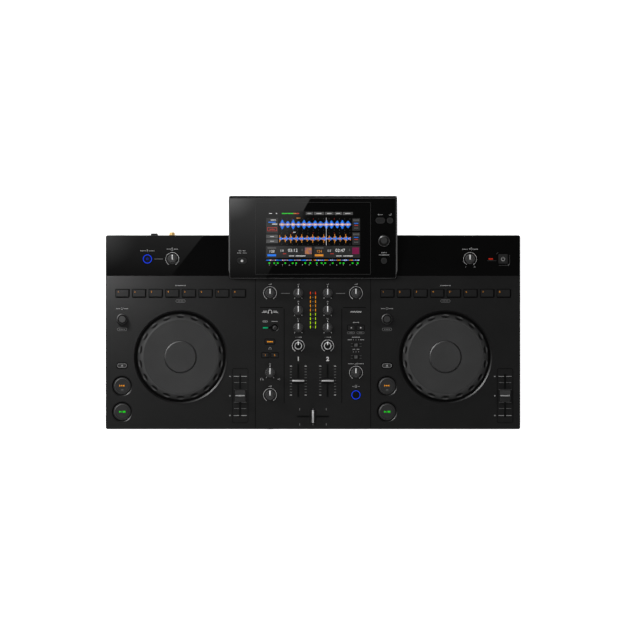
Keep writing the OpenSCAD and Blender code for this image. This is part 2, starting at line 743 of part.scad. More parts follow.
// Every opening in the flat panel, drawn from its top surface
module panel_openings() {
    for (k = concat(KNOBS, LOOPS)) at(k[1], k[2], panel_z - panel_t - 1)
        cylinder(r = shaft_r + 0.6, h = panel_t + 2);
    for (b = BUTTONS) at(b[1], b[2], panel_z) button_hole(b[3], b[4], b[5]);
    for (t = TWIN_KEYS) for (sx = [-1, 1]) at(t[1] + sx * key_dx, t[2], panel_z)
        button_hole("rect", key_w, key_d);
    for (s = SIDES) {
        for (i = [0:pad_count - 1]) at(s[1] * jog_x + pad_x(i), row(pad_v), panel_z) {
            button_hole("rect", pad_w, pad_d);
            translate([0, 0, -pad_trench_t]) linear_extrude(pad_trench_t + 1)
                rounded_rect(pad_w + 2 * pad_trench, pad_d + 2 * pad_trench, key_corner + pad_trench);
        }
        for (v = [row(cue_v), row(play_v)])
            at(s[1] * jog_x - col(column_dx), v, panel_z - (play_c + 0.2) * dip)
                cylinder(r1 = play_r + gap - 0.2, r2 = play_r + gap + play_c + 0.2, h = (play_c + 0.4) * dip);
        at(s[1] * jog_x + col(tempo_dx), row(tempo_v), panel_z) slot_hole(tempo_travel, stem_w);
        at(s[1] * jog_x + col(tempo_dx), row(tempo_v), panel_z - tempo_recess_t)
            linear_extrude(2) rounded_rect(tempo_recess_w, tempo_recess_l, 2.5);
        at(s[1] * col(channel_x), row(fader_v), panel_z) slot_hole(fader_travel, stem_w);
    }
    at(0, row(cross_v), panel_z) rotate([0, 0, 90]) slot_hole(fader_travel, cross_stem_w);
    for (w = SWITCHES) at(w[1], w[2], panel_z) {
        translate([0, 0, -1]) linear_extrude(2) rounded_rect(switch_w, switch_d, 1);
        translate([0, 0, -panel_t - 1]) middle_box(2 * switch_travel + 4.8, 2.2, panel_t + 2);
    }
    at(col(outer_x), row(level_v), panel_z - panel_t - 1) cylinder(r = ring_r + fit, h = panel_t + 2);
    at(mic_button_x, row_v, panel_z - panel_t - 1) cylinder(r = ring_r + fit, h = panel_t + 2);
    at(link_x, row(key_v), panel_z - 2.3 * dip) cylinder(r1 = 3.4, r2 = 6, h = 2.6 * dip);
    at(link_x - 10.6, row(key_v), panel_z - 0.8) middle_box(15.4, 4.4, 2);
    at(link_x - 13.9, row(key_v), panel_z - lens_t) middle_box(7.7 + 2 * fit, 2 + 2 * fit, 4);
    at(power_x - 16, row_v, panel_z - 0.9) linear_extrude(2) rounded_rect(15.6, 4.4, 1);
    at(power_x - 18.6, row_v, panel_z - lens_t) middle_box(7 + 2 * fit, 2 + 2 * fit, 4);
    at(power_x, row_v, panel_z - 0.9) linear_extrude(2) rounded_rect(power_recess_w, power_recess_w, 3.4);
    for (i = [0:meter_rows - 1]) for (sx = [-1, 1])
        at(sx * meter_x, row(eq_v) - i * meter_pitch, panel_z - lens_t)
            middle_box(meter_w + 2 * fit, meter_d + 2 * fit, 4);
}

module top_panel() color(case_color) {
    difference() {
        union() {
            difference() {
                at(0, body_d / 2, split_z) bevel_block(body_w, body_d, upper_h, corner_r, edge_c);
                at(0, body_d / 2, split_z - 1)
                    middle_box(body_w - 2 * wall, body_d - 2 * wall, upper_h - panel_t + 1);
            }
            for (s = SIDES) at(s[1] * jog_x, row(jog_v), panel_z - well_depth - cup_t)
                cylinder(r = well_r + cup_t, h = well_depth + cup_t - 0.5);
            for (p = SCREWS) at(p[0], p[1], boss_z) cylinder(r = boss_r, h = panel_z - 2.5 - boss_z);
        }
        for (s = SIDES) at(s[1] * jog_x, row(jog_v), 0) {
            translate([0, 0, panel_z - well_depth]) cylinder(r = well_r, h = well_depth + 1);
            translate([0, 0, panel_z - (well_c + 0.2) * dip])
                cylinder(r1 = well_r - 0.2, r2 = well_r + well_c + 0.2, h = (well_c + 0.4) * dip);
            cylinder(r = bearing_r + 5, h = panel_z);
        }
        for (p = SCREWS) at(p[0], p[1], 0)
            cylinder(r = screw_r + running, h = boss_z - screw_seat + screw_l + 1);
        at(0, body_d - (gloss_d + gloss_rim) / 2, panel_z - gloss_t) linear_extrude(gloss_t + 1)
            rounded_rect(body_w - 2 * gloss_rim, gloss_d - gloss_rim, 2);
        panel_openings();
        panel_grooves();
    }
}

module gloss_panel() color(gloss_color) {
    difference() {
        at(0, body_d - (gloss_d + gloss_rim) / 2, panel_z - gloss_t) linear_extrude(gloss_t)
            rounded_rect(body_w - 2 * gloss_rim - 2 * fit, gloss_d - gloss_rim - 2 * fit, 2);
        panel_openings();
    }
}

module display_stand() color(case_color) {
    v0 = body_d - 4 - stand_d;
    v1 = body_d - 4;
    z0 = screen_z + (v0 - screen_v) * tan(screen_tilt);
    z1 = screen_z + (v1 - screen_v) * tan(screen_tilt);
    at(0, 0, 0) along_x(stand_w) polygon([[v0, panel_z], [v1, panel_z], [v1, z1], [v0, z0]]);
}

module display_back() color(case_color) {
    back_t = screen_t - screen_front_t;
    difference() {
        on_screen(0, screen_l / 2, 0) bevel_block(screen_w, screen_l, back_t, screen_r, 0, screen_c);
        on_screen(0, screen_l / 2, 2) middle_box(screen_w - 6, screen_l - 6, screen_t);
    }
}

module display_front() color(gloss_color) {
    difference() {
        on_screen(0, screen_l / 2, screen_t - screen_front_t)
            bevel_block(screen_w, screen_l, screen_front_t, screen_r, screen_c);
        on_screen(0, screen_l / 2, screen_t - glass_t) linear_extrude(glass_t + 1)
            rounded_rect(glass_w + 2 * fit, glass_l + 2 * fit, 1);
        on_screen(0, screen_l / 2, 1) middle_box(lcd_w + 1, lcd_l + 1, screen_t);
        on_screen(screen_keys_x, browse_u, 1) cylinder(r = shaft_r + 0.6, h = screen_t);
        for (k = SCREEN_KEYS) on_screen(k[1], k[2], 1)
            linear_extrude(screen_t) key_outline(k[3], k[4], k[5], gap);
    }
}

module touch_screen() color(gloss_color) {
    on_screen(0, screen_l / 2, screen_t - glass_t) linear_extrude(glass_t) rounded_rect(glass_w, glass_l, 1);
    on_screen(0, screen_l / 2, 4) middle_box(lcd_w, lcd_l, screen_t - glass_t - 3.8);
}

module screen_key(shape, w, d) {
    flange_top = screen_t - screen_front_t - gap;
    plunger_w = 2 + screen_board_t + low_tact_h + 0.6 + gap;
    translate([0, 0, flange_top - 0.8]) linear_extrude(0.8) key_outline(shape, w, d, 0.9);
    translate([0, 0, flange_top - 0.8]) key_block(shape, w, d, screen_t + 0.7 - flange_top + 0.8);
    translate([0, 0, plunger_w]) cylinder(r = plunger_r, h = flange_top - 0.4 - plunger_w);
}

module deck_board(sx) {
    deck_w = deck_out - deck_in;
    difference() {
        at(sx * (deck_in + deck_out) / 2, (deck_v[0] + deck_v[1]) / 2, board_z)
            middle_box(deck_w, deck_v[1] - deck_v[0], board_t);
        at(sx * jog_x, row(jog_v), board_z - 1) cylinder(r = 2 * bearing_r, h = board_t + 2);
    }
}

module control_boards() color(board_color) {
    for (s = SIDES) deck_board(s[1]);
    at(0, (mixer_v[0] + mixer_v[1]) / 2, board_z)
        middle_box(2 * mixer_half, mixer_v[1] - mixer_v[0], board_t);
    at((bay_x[0] + bay_x[1]) / 2, (main_board_v[0] + main_board_v[1]) / 2, main_board_z)
        middle_box(bay_x[1] - bay_x[0] - 4, main_board_v[1] - main_board_v[0], board_t);
    for (k = KNOBS) at(k[1], k[2], board_top - fit) pot();
    for (k = LOOPS) at(k[1], k[2], board_top - fit) encoder();
    for (b = BUTTONS) at(b[1], b[2], board_top - fit) tact(tact_h + fit);
    for (t = TWIN_KEYS) at(t[1], t[2], board_top - fit) tact(tact_h + fit);
    for (s = SIDES) {
        at(s[1] * jog_x, row(pad_v), board_top - fit) tact(tact_h + fit);
        at(s[1] * jog_x + col(tempo_dx), row(tempo_v), board_top - fit) slide_pot(tempo_travel, stem_w);
        at(s[1] * col(channel_x), row(fader_v), board_top - fit) slide_pot(fader_travel, stem_w);
    }
    at(0, row(cross_v), board_top - fit) rotate([0, 0, 90]) slide_pot(fader_travel, cross_stem_w);
    for (w = SWITCHES) at(w[1], w[2], board_top - fit) difference() {
        middle_box(20, 6, slide_h);
        translate([0, 0, slide_h - 5]) middle_box(2 * switch_travel + 4, 2, 6);
    }
    on_screen(screen_keys_x, (screen_front_u + screen_rear_u) / 2, 2)
        middle_box(screen_board_w, 92, screen_board_t);
    on_screen(-screen_keys_x, screen_front_u, 2) middle_box(screen_board_w, 22, screen_board_t);
    for (k = SCREEN_KEYS) on_screen(k[1], k[2], 2 + screen_board_t - fit) middle_box(5, 5, low_tact_h + fit);
    on_screen(screen_keys_x, browse_u, 2 + screen_board_t - fit) difference() {
        middle_box(pot_w, pot_w, 3.4);
        translate([0, 0, 0.6]) cylinder(r = shaft_r - 0.5 + gap, h = 4);
    }
}

// Phono socket on the rear wall; the origin is its axis at the wall's outer face
module phono() {
    reach = bay_depth + phono_reach;
    difference() {
        union() {
            rotate([-90, 0, 0]) translate([0, 0, -wall - 1]) cylinder(r = phono_r, h = reach + wall + 1);
            rotate([-90, 0, 0]) cylinder(r = phono_flange_r, h = 1);
        }
        rotate([-90, 0, 0]) translate([0, 0, reach - 8]) cylinder(r = 1.65, h = 9);
    }
}

module usb_socket() {
    difference() {
        translate([-usb_w / 2, 0.5 - usb_d, -usb_h / 2]) cube([usb_w, usb_d, usb_h]);
        translate([usb_t - usb_w / 2, -tongue_d, usb_t - usb_h / 2])
            cube([usb_w - 2 * usb_t, usb_d, usb_h - 2 * usb_t]);
    }
    translate([1.1 - usb_w / 2, -tongue_d - 1, 0.3]) cube([usb_w - 2.2, tongue_d, tongue_t]);
}

module jacks() color(metal_color) {
    shelf = main_board_z + board_t;
    phono_top = phono_z[1] + 5;
    for (x = [aux_x, master_jack_x]) {
        at(x, bay_v, 0) translate([-phono_block / 2, -wall - phono_block, shelf])
            cube([phono_block, phono_block, phono_top - shelf]);
        for (z = phono_z) at(x, bay_v, z) phono();
    }
    at(mic_jack_x, bay_v, jack_z) difference() {
        union() {
            rotate([-90, 0, 0]) translate([0, 0, -wall - 1])
                cylinder(r = mic_collar_r, h = bay_depth + mic_reach + wall + 1);
            translate([-8, -wall - 12, shelf - jack_z]) cube([16, 12, jack_z - shelf + 8]);
        }
        rotate([-90, 0, 0]) translate([0, 0, -wall - 9]) cylinder(r = mic_bore_r, h = 30);
    }
    for (x = [usb_x, link_usb_x]) {
        at(x, bay_v, jack_z) usb_socket();
        at(x, bay_v, 0) translate([-5, -14, shelf]) cube([10, 8, jack_z - 2.5 - shelf]);
    }
    at(inlet_x, bay_v, jack_z) difference() {
        union() {
            rotate([-90, 0, 0]) translate([0, 0, -wall - 1]) cylinder(r = 5, h = wall + 1.6);
            translate([-6, -wall - 12, shelf - jack_z]) cube([12, 12, jack_z - shelf + 6]);
        }
        rotate([-90, 0, 0]) translate([0, 0, -wall - 8]) cylinder(r = 2.8, h = 20);
    }
    at(-col(outer_x), 0, phones_z) difference() {
        union() {
            rotate([-90, 0, 0]) translate([0, 0, -phones_reach])
                cylinder(r = phones_collar_r, h = phones_reach + wall + 2);
            translate([-6, wall, -5]) cube([12, 14, 10]);
        }
        rotate([-90, 0, 0]) translate([0, 0, -1]) cylinder(r = phones_bore_r, h = 14);
    }
}

module rubber_feet() color(rubber_color) {
    for (s = SIDES) for (v = [34, body_d - 34]) at(s[1] * (body_w / 2 - 44), v, 0) {
        cylinder(r1 = foot_r - 1, r2 = foot_r, h = 1);
        translate([0, 0, 1]) cylinder(r = foot_r, h = foot_h - 1);
    }
}

module case_screws() color(metal_color) {
    for (p = SCREWS) at(p[0], p[1], boss_z - screw_seat) {
        cylinder(r = screw_r, h = screw_l);
        difference() {
            translate([0, 0, -screw_head_h]) cylinder(r = screw_head_r, h = screw_head_h);
            for (a = [0, 90]) rotate([0, 0, a])
                translate([-1.7, -0.4, -screw_head_h - 1]) cube([3.4, 0.8, 2]);
        }
    }
}

module ring_light() {
    difference() {
        translate([0, 0, -panel_t]) cylinder(r = ring_r, h = panel_t + 0.3);
        translate([0, 0, -panel_t - 1]) cylinder(r = ring_button_r + gap, h = panel_t + 2);
    }
}

module light_lenses() color(light_color) {
    for (i = [0:meter_rows - 1]) for (sx = [-1, 1])
        at(sx * meter_x, row(eq_v) - i * meter_pitch, panel_z - lens_t) middle_box(meter_w, meter_d, lens_t);
    at(col(outer_x), row(level_v), panel_z) ring_light();
    at(mic_button_x, row_v, panel_z) ring_light();
    at(link_x - 13.9, row(key_v), panel_z - lens_t) middle_box(7.7, 2, lens_t - 0.4);
    at(power_x - 18.6, row_v, panel_z - lens_t) middle_box(7, 2, lens_t - 0.4);
}

// Rim, hollow drum and shaft of a jog wheel; the origin is its axis at the panel's top
module jog_wheel(sx) color(rubber_color) {
    seat = jog_h - plate_t;
    skirt = 4 - well_depth;
    slope_z = 0.8;
    crown_r = plate_r + 1.6;
    run = jog_r - crown_r;
    lift = jog_h - 0.8 - slope_z;
    slope = sqrt(run * run + lift * lift);
    reach = dimple_long - dimple_depth;
    hollow_r = (jog_r + crown_r) / 2 + reach * lift / slope;
    hollow_z = slope_z + lift / 2 + reach * run / slope;
    hub_z = bearing_top + 0.3 - panel_z;
    end_z = bearing_end + 0.3 - panel_z;
    at(sx * jog_x, row(jog_v), panel_z) {
        difference() {
            rotate_extrude($fn = 128) polygon([
                [0, hub_z],
                [bearing_r, hub_z],
                [bearing_r, seat - 3.5],
                [jog_r - 7, seat - 3.5],
                [jog_r - 3.5, skirt + 2],
                [jog_r - 3.5, skirt],
                [jog_r, skirt],
                [jog_r, slope_z],
                [crown_r, jog_h - 0.8],
                [crown_r - 0.8, jog_h],
                [plate_r + 0.3, jog_h],
                [plate_r + 0.3, seat],
                [0, seat],
            ]);
            for (i = [0:dimple_count - 1]) rotate([0, 0, 90 + i * 360 / dimple_count])
                translate([hollow_r, 0, hollow_z]) rotate([0, -atan2(run, lift), 0])
                    rotate_extrude() translate([dimple_long - dimple_cross, 0]) circle(dimple_cross);
        }
        translate([0, 0, end_z]) cylinder(r = jog_shaft_r, h = hub_z - end_z + 1);
    }
}

module jog_plate(sx) color(cap_color) {
    at(sx * jog_x, row(jog_v), panel_z + jog_h - plate_t) rotate_extrude($fn = 128) polygon([
        [0, 0],
        [plate_r, 0],
        [plate_r, plate_t - 0.3],
        [plate_r - 0.3, plate_t],
        [disc_r, plate_t],
        [disc_r - 0.8, plate_t + disc_h],
        [0, plate_t + disc_h],
    ]);
}

// Pads moulded on one mat, which is held under the panel
module hot_cue_pads(sx) color(rubber_color) {
    mat_z = -panel_t - gap - flange_t;
    plunger_z = board_top + tact_h + nub_h + pad_travel + gap - panel_z;
    at(sx * jog_x, row(pad_v), panel_z) {
        translate([0, 0, mat_z])
            middle_box(2 * pad_x(pad_count - 1) + pad_w + 2 * mat_rim, pad_d + 2 * mat_rim, flange_t);
        for (i = [0:pad_count - 1]) translate([pad_x(i), 0, mat_z])
            bevel_block(pad_w, pad_d, key_rise - mat_z, key_corner, key_c);
        translate([0, 0, plunger_z]) cylinder(r = plunger_r, h = mat_z + flange_t / 2 - plunger_z);
    }
}

module twin_keys() {
    bar_z = -panel_t - gap - flange_t;
    plunger_z = board_top + tact_h + nub_h + small_travel + gap - panel_z;
    translate([0, 0, bar_z]) middle_box(2 * key_dx + key_w + 2, key_d + 2, flange_t);
    for (sx = [-1, 1]) translate([sx * key_dx, 0, bar_z])
        bevel_block(key_w, key_d, key_rise - bar_z, key_corner, key_c);
    translate([0, 0, plunger_z]) cylinder(r = plunger_r, h = bar_z + flange_t / 2 - plunger_z);
}

// Cap with raised ends and a marked ridge in its hollow
module tempo_fader(sx) color(cap_color) {
    half = tempo_d / 2;
    at(sx * jog_x + col(tempo_dx), row(tempo_v), panel_z) {
        intersection() {
            along_x(tempo_w) polygon([
                [-half, cap_gap],
                [half, cap_gap],
                [half, 8.2],
                [half - 0.8, 9],
                [half - 1.6, 9],
                [1.6, 6.3],
                [1.3, 7],
                [-1.3, 7],
                [-1.6, 6.3],
                [1.6 - half, 9],
                [0.8 - half, 9],
                [-half, 8.2],
            ]);
            along_y(tempo_d) polygon([
                [-tempo_w / 2, 0],
                [tempo_w / 2, 0],
                [tempo_w / 2, 4],
                [tempo_w / 2 - 0.8, 10],
                [0.8 - tempo_w / 2, 10],
                [-tempo_w / 2, 4],
            ]);
        }
        stem(stem_w);
    }
}

module channel_fader(sx) color(cap_color) {
    at(sx * col(channel_x), row(fader_v), panel_z) {
        ridge_cap(fader_w, fader_d, 2.9, 10);
        stem(stem_w);
    }
}

module crossfader() color(cap_color) {
    at(0, row(cross_v), panel_z) rotate([0, 0, 90]) {
        ridge_cap(fader_w, fader_d, 3.3, 10);
        stem(cross_stem_w);
    }
}

// Lever of a slide switch, with its blade down into the switch
module switch_lever() {
    blade_z = board_top + slide_h - 4 - panel_z;
    translate([0, 0, gap - 1]) bevel_block(6, switch_d - 1, 2.6, 0.8, 0.5);
    translate([-2, -0.6, blade_z]) cube([4, 1.2, -blade_z]);
}

bottom_case();
top_panel();
gloss_panel();
display_stand();
display_back();
display_front();
touch_screen();
control_boards();
jacks();
rubber_feet();
case_screws();
light_lenses();
for (s = SIDES) {
    jog_wheel(s[1]);
    jog_plate(s[1]);
    hot_cue_pads(s[1]);
    tempo_fader(s[1]);
}
channel_fader(-1);  // channel_fader_1
channel_fader(1);  // channel_fader_2
crossfader();
color(cap_color)  // browse_knob
    on_screen(screen_keys_x, browse_u, screen_t) endless_knob(browse_r, browse_h, 4.3 - screen_t);
for (k = KNOBS) color(cap_color) at(k[1], k[2], panel_z) knob();
for (k = LOOPS) color(cap_color)
    at(k[1], k[2], panel_z) endless_knob(loop_r, 12, board_top + pot_h - 4.6 - panel_z);
for (b = BUTTONS) color(rubber_color)
    at(b[1], b[2], panel_z) button(b[3], b[4], b[5], b[6], b[7]);
for (t = TWIN_KEYS) color(rubber_color)
    at(t[1], t[2], panel_z) twin_keys();
for (k = SCREEN_KEYS) color(rubber_color)
    on_screen(k[1], k[2], 0) screen_key(k[3], k[4], k[5]);
for (w = SWITCHES) color(cap_color) at(w[1], w[2], panel_z) switch_lever();
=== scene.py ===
import math

import bmesh
import bpy
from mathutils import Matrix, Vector


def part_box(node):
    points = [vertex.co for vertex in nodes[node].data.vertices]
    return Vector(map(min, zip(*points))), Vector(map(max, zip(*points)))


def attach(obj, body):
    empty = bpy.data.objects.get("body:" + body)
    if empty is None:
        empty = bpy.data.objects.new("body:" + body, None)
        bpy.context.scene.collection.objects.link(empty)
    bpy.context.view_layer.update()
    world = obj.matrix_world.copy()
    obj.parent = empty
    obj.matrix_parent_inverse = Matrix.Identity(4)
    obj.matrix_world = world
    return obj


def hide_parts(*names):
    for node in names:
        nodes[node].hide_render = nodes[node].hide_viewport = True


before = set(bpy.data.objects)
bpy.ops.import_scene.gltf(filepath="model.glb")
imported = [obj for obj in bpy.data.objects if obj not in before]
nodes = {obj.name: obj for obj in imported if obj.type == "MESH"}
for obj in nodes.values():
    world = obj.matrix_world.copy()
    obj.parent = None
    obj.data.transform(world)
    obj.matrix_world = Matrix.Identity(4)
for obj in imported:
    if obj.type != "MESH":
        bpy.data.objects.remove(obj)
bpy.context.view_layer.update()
mm = 0.001

# places on the panel: x from the middle, v back from the front edge, in mm
panel = {"front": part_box("top_panel")[0].y / mm, "top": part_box("gloss_panel")[1].z / mm}
deck = {"jogX": {"left": -199.4, "right": 199.4}, "columnDx": -88.0, "tempoDx": 89.8, "jogV": 108.7,
        "padV": 204.8, "padPitch": 25.06, "loopV": 165.6, "shiftV": 95.6, "cueV": 65.1, "playV": 26.1,
        "tempoV": 50.4}
decks = [(side, x, x + deck["columnDx"], x + deck["tempoDx"]) for side, x in deck["jogX"].items()]
mixer = {"colourV": 125.4, "mixV": 85.1, "levelV": 51.5, "faderV": 73.1, "faderStep": 4.35, "crossV": 19.0,
         "keyDx": 7.0, "keyV": 152.6, "masterKeyV": 131.6, "cueKeyV": 111.4, "linkX": -57.6,
         "meterTop": 204.8, "meterPitch": 6.39,
         "switchV": {"fx_type_switch": 126.6, "fx_channel_switch": 108.6}}
outerX, channelX = 64.7, 22.1
channels = ((1, -channelX), (2, channelX))
eqRows = (204.8, 178.8, 152.8)
band = {"v": 256.2, "micKeyX": -249.3, "micX": -211.8, "masterX": 236.5, "powerX": 286.2}
screen = {"v": 227.9, "z": 49.0, "tilt": 15.0, "thick": 10.0, "middle": 64.1, "keysX": 106.85}
print("frame loaded:", len(nodes), "nodes")


# small modelling helpers

def clearSelection():
    if bpy.context.object and bpy.context.object.mode != "OBJECT":
        bpy.ops.object.mode_set(mode="OBJECT")
    bpy.ops.object.select_all(action="DESELECT")


def pick(piece):
    clearSelection()
    piece.select_set(True)
    bpy.context.view_layer.objects.active = piece


def onPanel(x, v, rise=0.0):
    return Vector((x, panel["front"] + v, panel["top"] + rise)) * mm


def onSlab(x, u, rise=0.0):  # flat, before the slab is tilted
    return Vector((x, u, screen["thick"] + rise)) * mm


def tiltToScreen(piece):
    pick(piece)
    piece.rotation_euler = (math.radians(screen["tilt"]), 0, 0)
    piece.location = Vector((0, panel["front"] + screen["v"], screen["z"])) * mm
    bpy.ops.object.transform_apply(location=True, rotation=True, scale=False)


def startMarks(name):
    clearSelection()
    bpy.ops.mesh.primitive_plane_add(size=mm)
    piece = bpy.context.object
    piece.name = name
    piece.data.name = name
    bpy.ops.object.mode_set(mode="EDIT")
    bpy.ops.mesh.delete(type="VERT")
    return piece


def endMarks(piece, tall, finish, soften=0.0, smooth=0):  # gives the flat marks their height
    bpy.ops.mesh.select_all(action="SELECT")
    bpy.ops.mesh.extrude_region_move(TRANSFORM_OT_translate={"value": (0, 0, tall * mm)})
    if soften:  # the raised faces are still selected
        bpy.ops.mesh.bevel(offset=soften * mm, segments=2, affect="EDGES")
    bpy.ops.mesh.select_all(action="SELECT")
    bpy.ops.mesh.normals_make_consistent(inside=False)
    bpy.ops.object.mode_set(mode="OBJECT")
    if smooth:
        bpy.ops.object.shade_smooth_by_angle(angle=math.radians(smooth))
    piece.data.materials.append(finish)


def carry(piece, body):
    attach(piece, body)


def barMark(spot, w, d, turn=0.0):
    bpy.ops.mesh.primitive_plane_add(size=1, location=spot)
    bpy.ops.transform.resize(value=(w * mm, d * mm, 1), center_override=spot)
    if turn:  # counted to the left, seen from above
        bpy.ops.transform.rotate(value=-math.radians(turn), orient_axis="Z", center_override=spot)


def discMark(spot, r, corners=24, turn=0.0, stretch=(1, 1)):
    bpy.ops.mesh.primitive_circle_add(vertices=corners, radius=r * mm, fill_type="NGON",
                                      location=spot, rotation=(0, 0, math.radians(turn)))
    if stretch != (1, 1):
        bpy.ops.transform.resize(value=(stretch[0], stretch[1], 1), center_override=spot)


def arrowMark(spot, r, turn, stretch=(1, 1)):  # a triangle that points along turn
    discMark(spot, r, 3, turn - 90, stretch)


def arcMark(spot, inner, outer, opening=0.0, middle=-90.0, steps=60):
    bpy.ops.mesh.primitive_circle_add(vertices=steps, radius=inner * mm, fill_type="NOTHING", location=spot)
    bpy.ops.mesh.extrude_edges_move()
    bpy.ops.transform.resize(value=(outer / inner, outer / inner, 1), center_override=spot)
    if opening:
        shape = bmesh.from_edit_mesh(bpy.context.object.data)
        bpy.ops.mesh.select_all(action="DESELECT")
        for face in shape.faces:
            away = face.calc_center_median() - spot
            if away.length < outer * mm and abs(away.z) < 1e-6 and away.length > inner * mm * 0.98:
                angle = math.degrees(math.atan2(away.y, away.x)) - middle
                if abs((angle + 180) % 360 - 180) < opening / 2:
                    face.select_set(True)
        bpy.ops.mesh.delete(type="FACE")


def slopeMark(spot, inner, outer, start, end, steps=96):  # ring that runs from start to end in height
    low = spot + Vector((0, 0, start * mm))
    bpy.ops.mesh.primitive_circle_add(vertices=steps, radius=inner * mm, fill_type="NOTHING", location=low)
    bpy.ops.mesh.extrude_edges_move()
    bpy.ops.transform.resize(value=(outer / inner, outer / inner, 1), center_override=low)
    bpy.ops.transform.translate(value=(0, 0, (end - start) * mm))


def pillMark(spot, w, d, line):  # outline of a pill
    bpy.ops.mesh.primitive_circle_add(vertices=24, radius=d / 2 * mm, fill_type="NOTHING", location=spot)
    shape = bmesh.from_edit_mesh(bpy.context.object.data)
    ring = [vert for vert in shape.verts if vert.select]
    for side in (1, -1):
        bpy.ops.mesh.select_all(action="DESELECT")
        for vert in ring:
            vert.select_set((vert.co.x - spot.x) * side > 1e-6)
        bpy.ops.transform.translate(value=(side * (w - d) / 2 * mm, 0, 0))
    for vert in ring:
        vert.select_set(True)
    shape.select_flush(True)
    bpy.ops.mesh.extrude_edges_move()
    bpy.ops.transform.resize(value=(1 - 2 * line / w, 1 - 2 * line / d, 1), center_override=spot)


def numeral(text, spot, size, thick, bold=0.0):
    clearSelection()
    bpy.ops.object.text_add(location=spot)
    digits = bpy.context.object
    digits.data.body = text
    digits.data.size = size * mm
    digits.data.align_x = "CENTER"
    digits.data.align_y = "CENTER"
    digits.data.resolution_u = 3
    digits.data.extrude = thick * mm / 2
    digits.data.offset = bold * mm
    bpy.ops.object.convert(target="MESH")
    digits = bpy.context.object
    bpy.ops.object.mode_set(mode="EDIT")
    bpy.ops.mesh.select_all(action="SELECT")
    bpy.ops.mesh.remove_doubles(threshold=1e-6)
    bpy.ops.mesh.normals_make_consistent(inside=False)
    bpy.ops.object.mode_set(mode="OBJECT")
    bpy.ops.object.transform_apply(location=True, rotation=False, scale=False)
    return digits


def joinTo(piece, others):
    pick(piece)
    for other in others:
        other.data.materials.clear()
        other.data.materials.append(piece.data.materials[0])
        other.select_set(True)
    bpy.ops.object.join()


def placeCopy(master, name, spot, body):
    pick(master)
    bpy.ops.object.duplicate(linked=False)
    copy = bpy.context.object
    copy.name = name
    copy.data.name = name
    copy.location = spot
    bpy.ops.object.transform_apply(location=True, rotation=False, scale=False)
    carry(copy, body)
    return copy


def dropMaster(master):
    clearSelection()
    bpy.data.objects.remove(master)


def bevelBlock(name, size, edge, finish, lift=0.0, along=0.0):  # block with its lower face at lift
    clearSelection()
    bpy.ops.mesh.primitive_cube_add(size=1, location=(0, along * mm, (lift + size[2] / 2) * mm))
    piece = bpy.context.object
    piece.name = name
    piece.scale = Vector(size) * mm
    bpy.ops.object.transform_apply(location=True, rotation=False, scale=True)
    bpy.ops.object.mode_set(mode="EDIT")
    bpy.ops.mesh.select_all(action="SELECT")
    bpy.ops.mesh.bevel(offset=edge * mm, segments=2, affect="EDGES")
    bpy.ops.object.mode_set(mode="OBJECT")
    bpy.ops.object.shade_smooth_by_angle(angle=math.radians(40))
    piece.data.materials.append(finish)
    return piece


# finishes

def feed(tree, node, inputs):  # links a socket, or sets a value
    for key, value in inputs.items():
        if isinstance(value, bpy.types.NodeSocket):
            tree.links.new(value, node.inputs[key])
        else:
            node.inputs[key].default_value = value


def addNode(tree, kind, inputs, **settings):
    node = tree.nodes.new("ShaderNode" + kind)
    for key, value in settings.items():
        setattr(node, key, value)
    feed(tree, node, inputs)
    return node


def newFinish(name):
    finish = bpy.data.materials.new(name)
    finish.use_nodes = True
    return finish, finish.node_tree, finish.node_tree.nodes["Principled BSDF"]


def objectPlace(tree):
    return addNode(tree, "TexCoord", {}).outputs["Object"]


def noise(tree, scale, detail=2.0):
    node = addNode(tree, "TexNoise", {"Vector": objectPlace(tree), "Scale": scale, "Detail": detail})
    return node.outputs["Fac"]


def rampBetween(tree, share, low, high, colours):
    ramp = addNode(tree, "ValToRGB", {"Fac": share})
    for stop, place, colour in zip(ramp.color_ramp.elements, (low, high), colours):
        stop.position = place
        stop.color = (*colour, 1)
    return ramp.outputs["Color"]


def mapRange(tree, value, *ends):
    sockets = ("From Min", "From Max", "To Min", "To Max")
    return addNode(tree, "MapRange", {"Value": value, **dict(zip(sockets, ends))}).outputs["Result"]


def addBump(tree, shader, height, strength):
    bump = addNode(tree, "Bump", {"Height": height, "Strength": strength, "Distance": 0.0001})
    feed(tree, shader, {"Normal": bump.outputs["Normal"]})


def addGrain(tree, shader, look):  # fine grain in the roughness and the bump
    grain = noise(tree, look["grain"])
    feed(tree, shader, {"Roughness": mapRange(tree, grain, 0.3, 0.7, *look["rough"])})
    addBump(tree, shader, grain, look["bump"])


def grainFinish(name, look):
    finish, tree, shader = newFinish(name)
    addGrain(tree, shader, look)
    shade = rampBetween(tree, noise(tree, look["cloud"], 3), 0.35, 0.65, (look["dark"], look["light"]))
    feed(tree, shader, {"Base Color": shade, "Metallic": look.get("metal", 0.0),
                        "Specular IOR Level": look.get("spec", 0.5), "IOR": look.get("ior", 1.5)})
    if look.get("glow"):
        feed(tree, shader, {"Emission Color": shade, "Emission Strength": look["glow"]})
    return finish


def grey(level, warm=0.0):
    return (level * (1 + warm), level, level * (1 - warm))


def shades(dark, light, **look):
    return {"dark": grey(dark), "light": grey(light), **look}


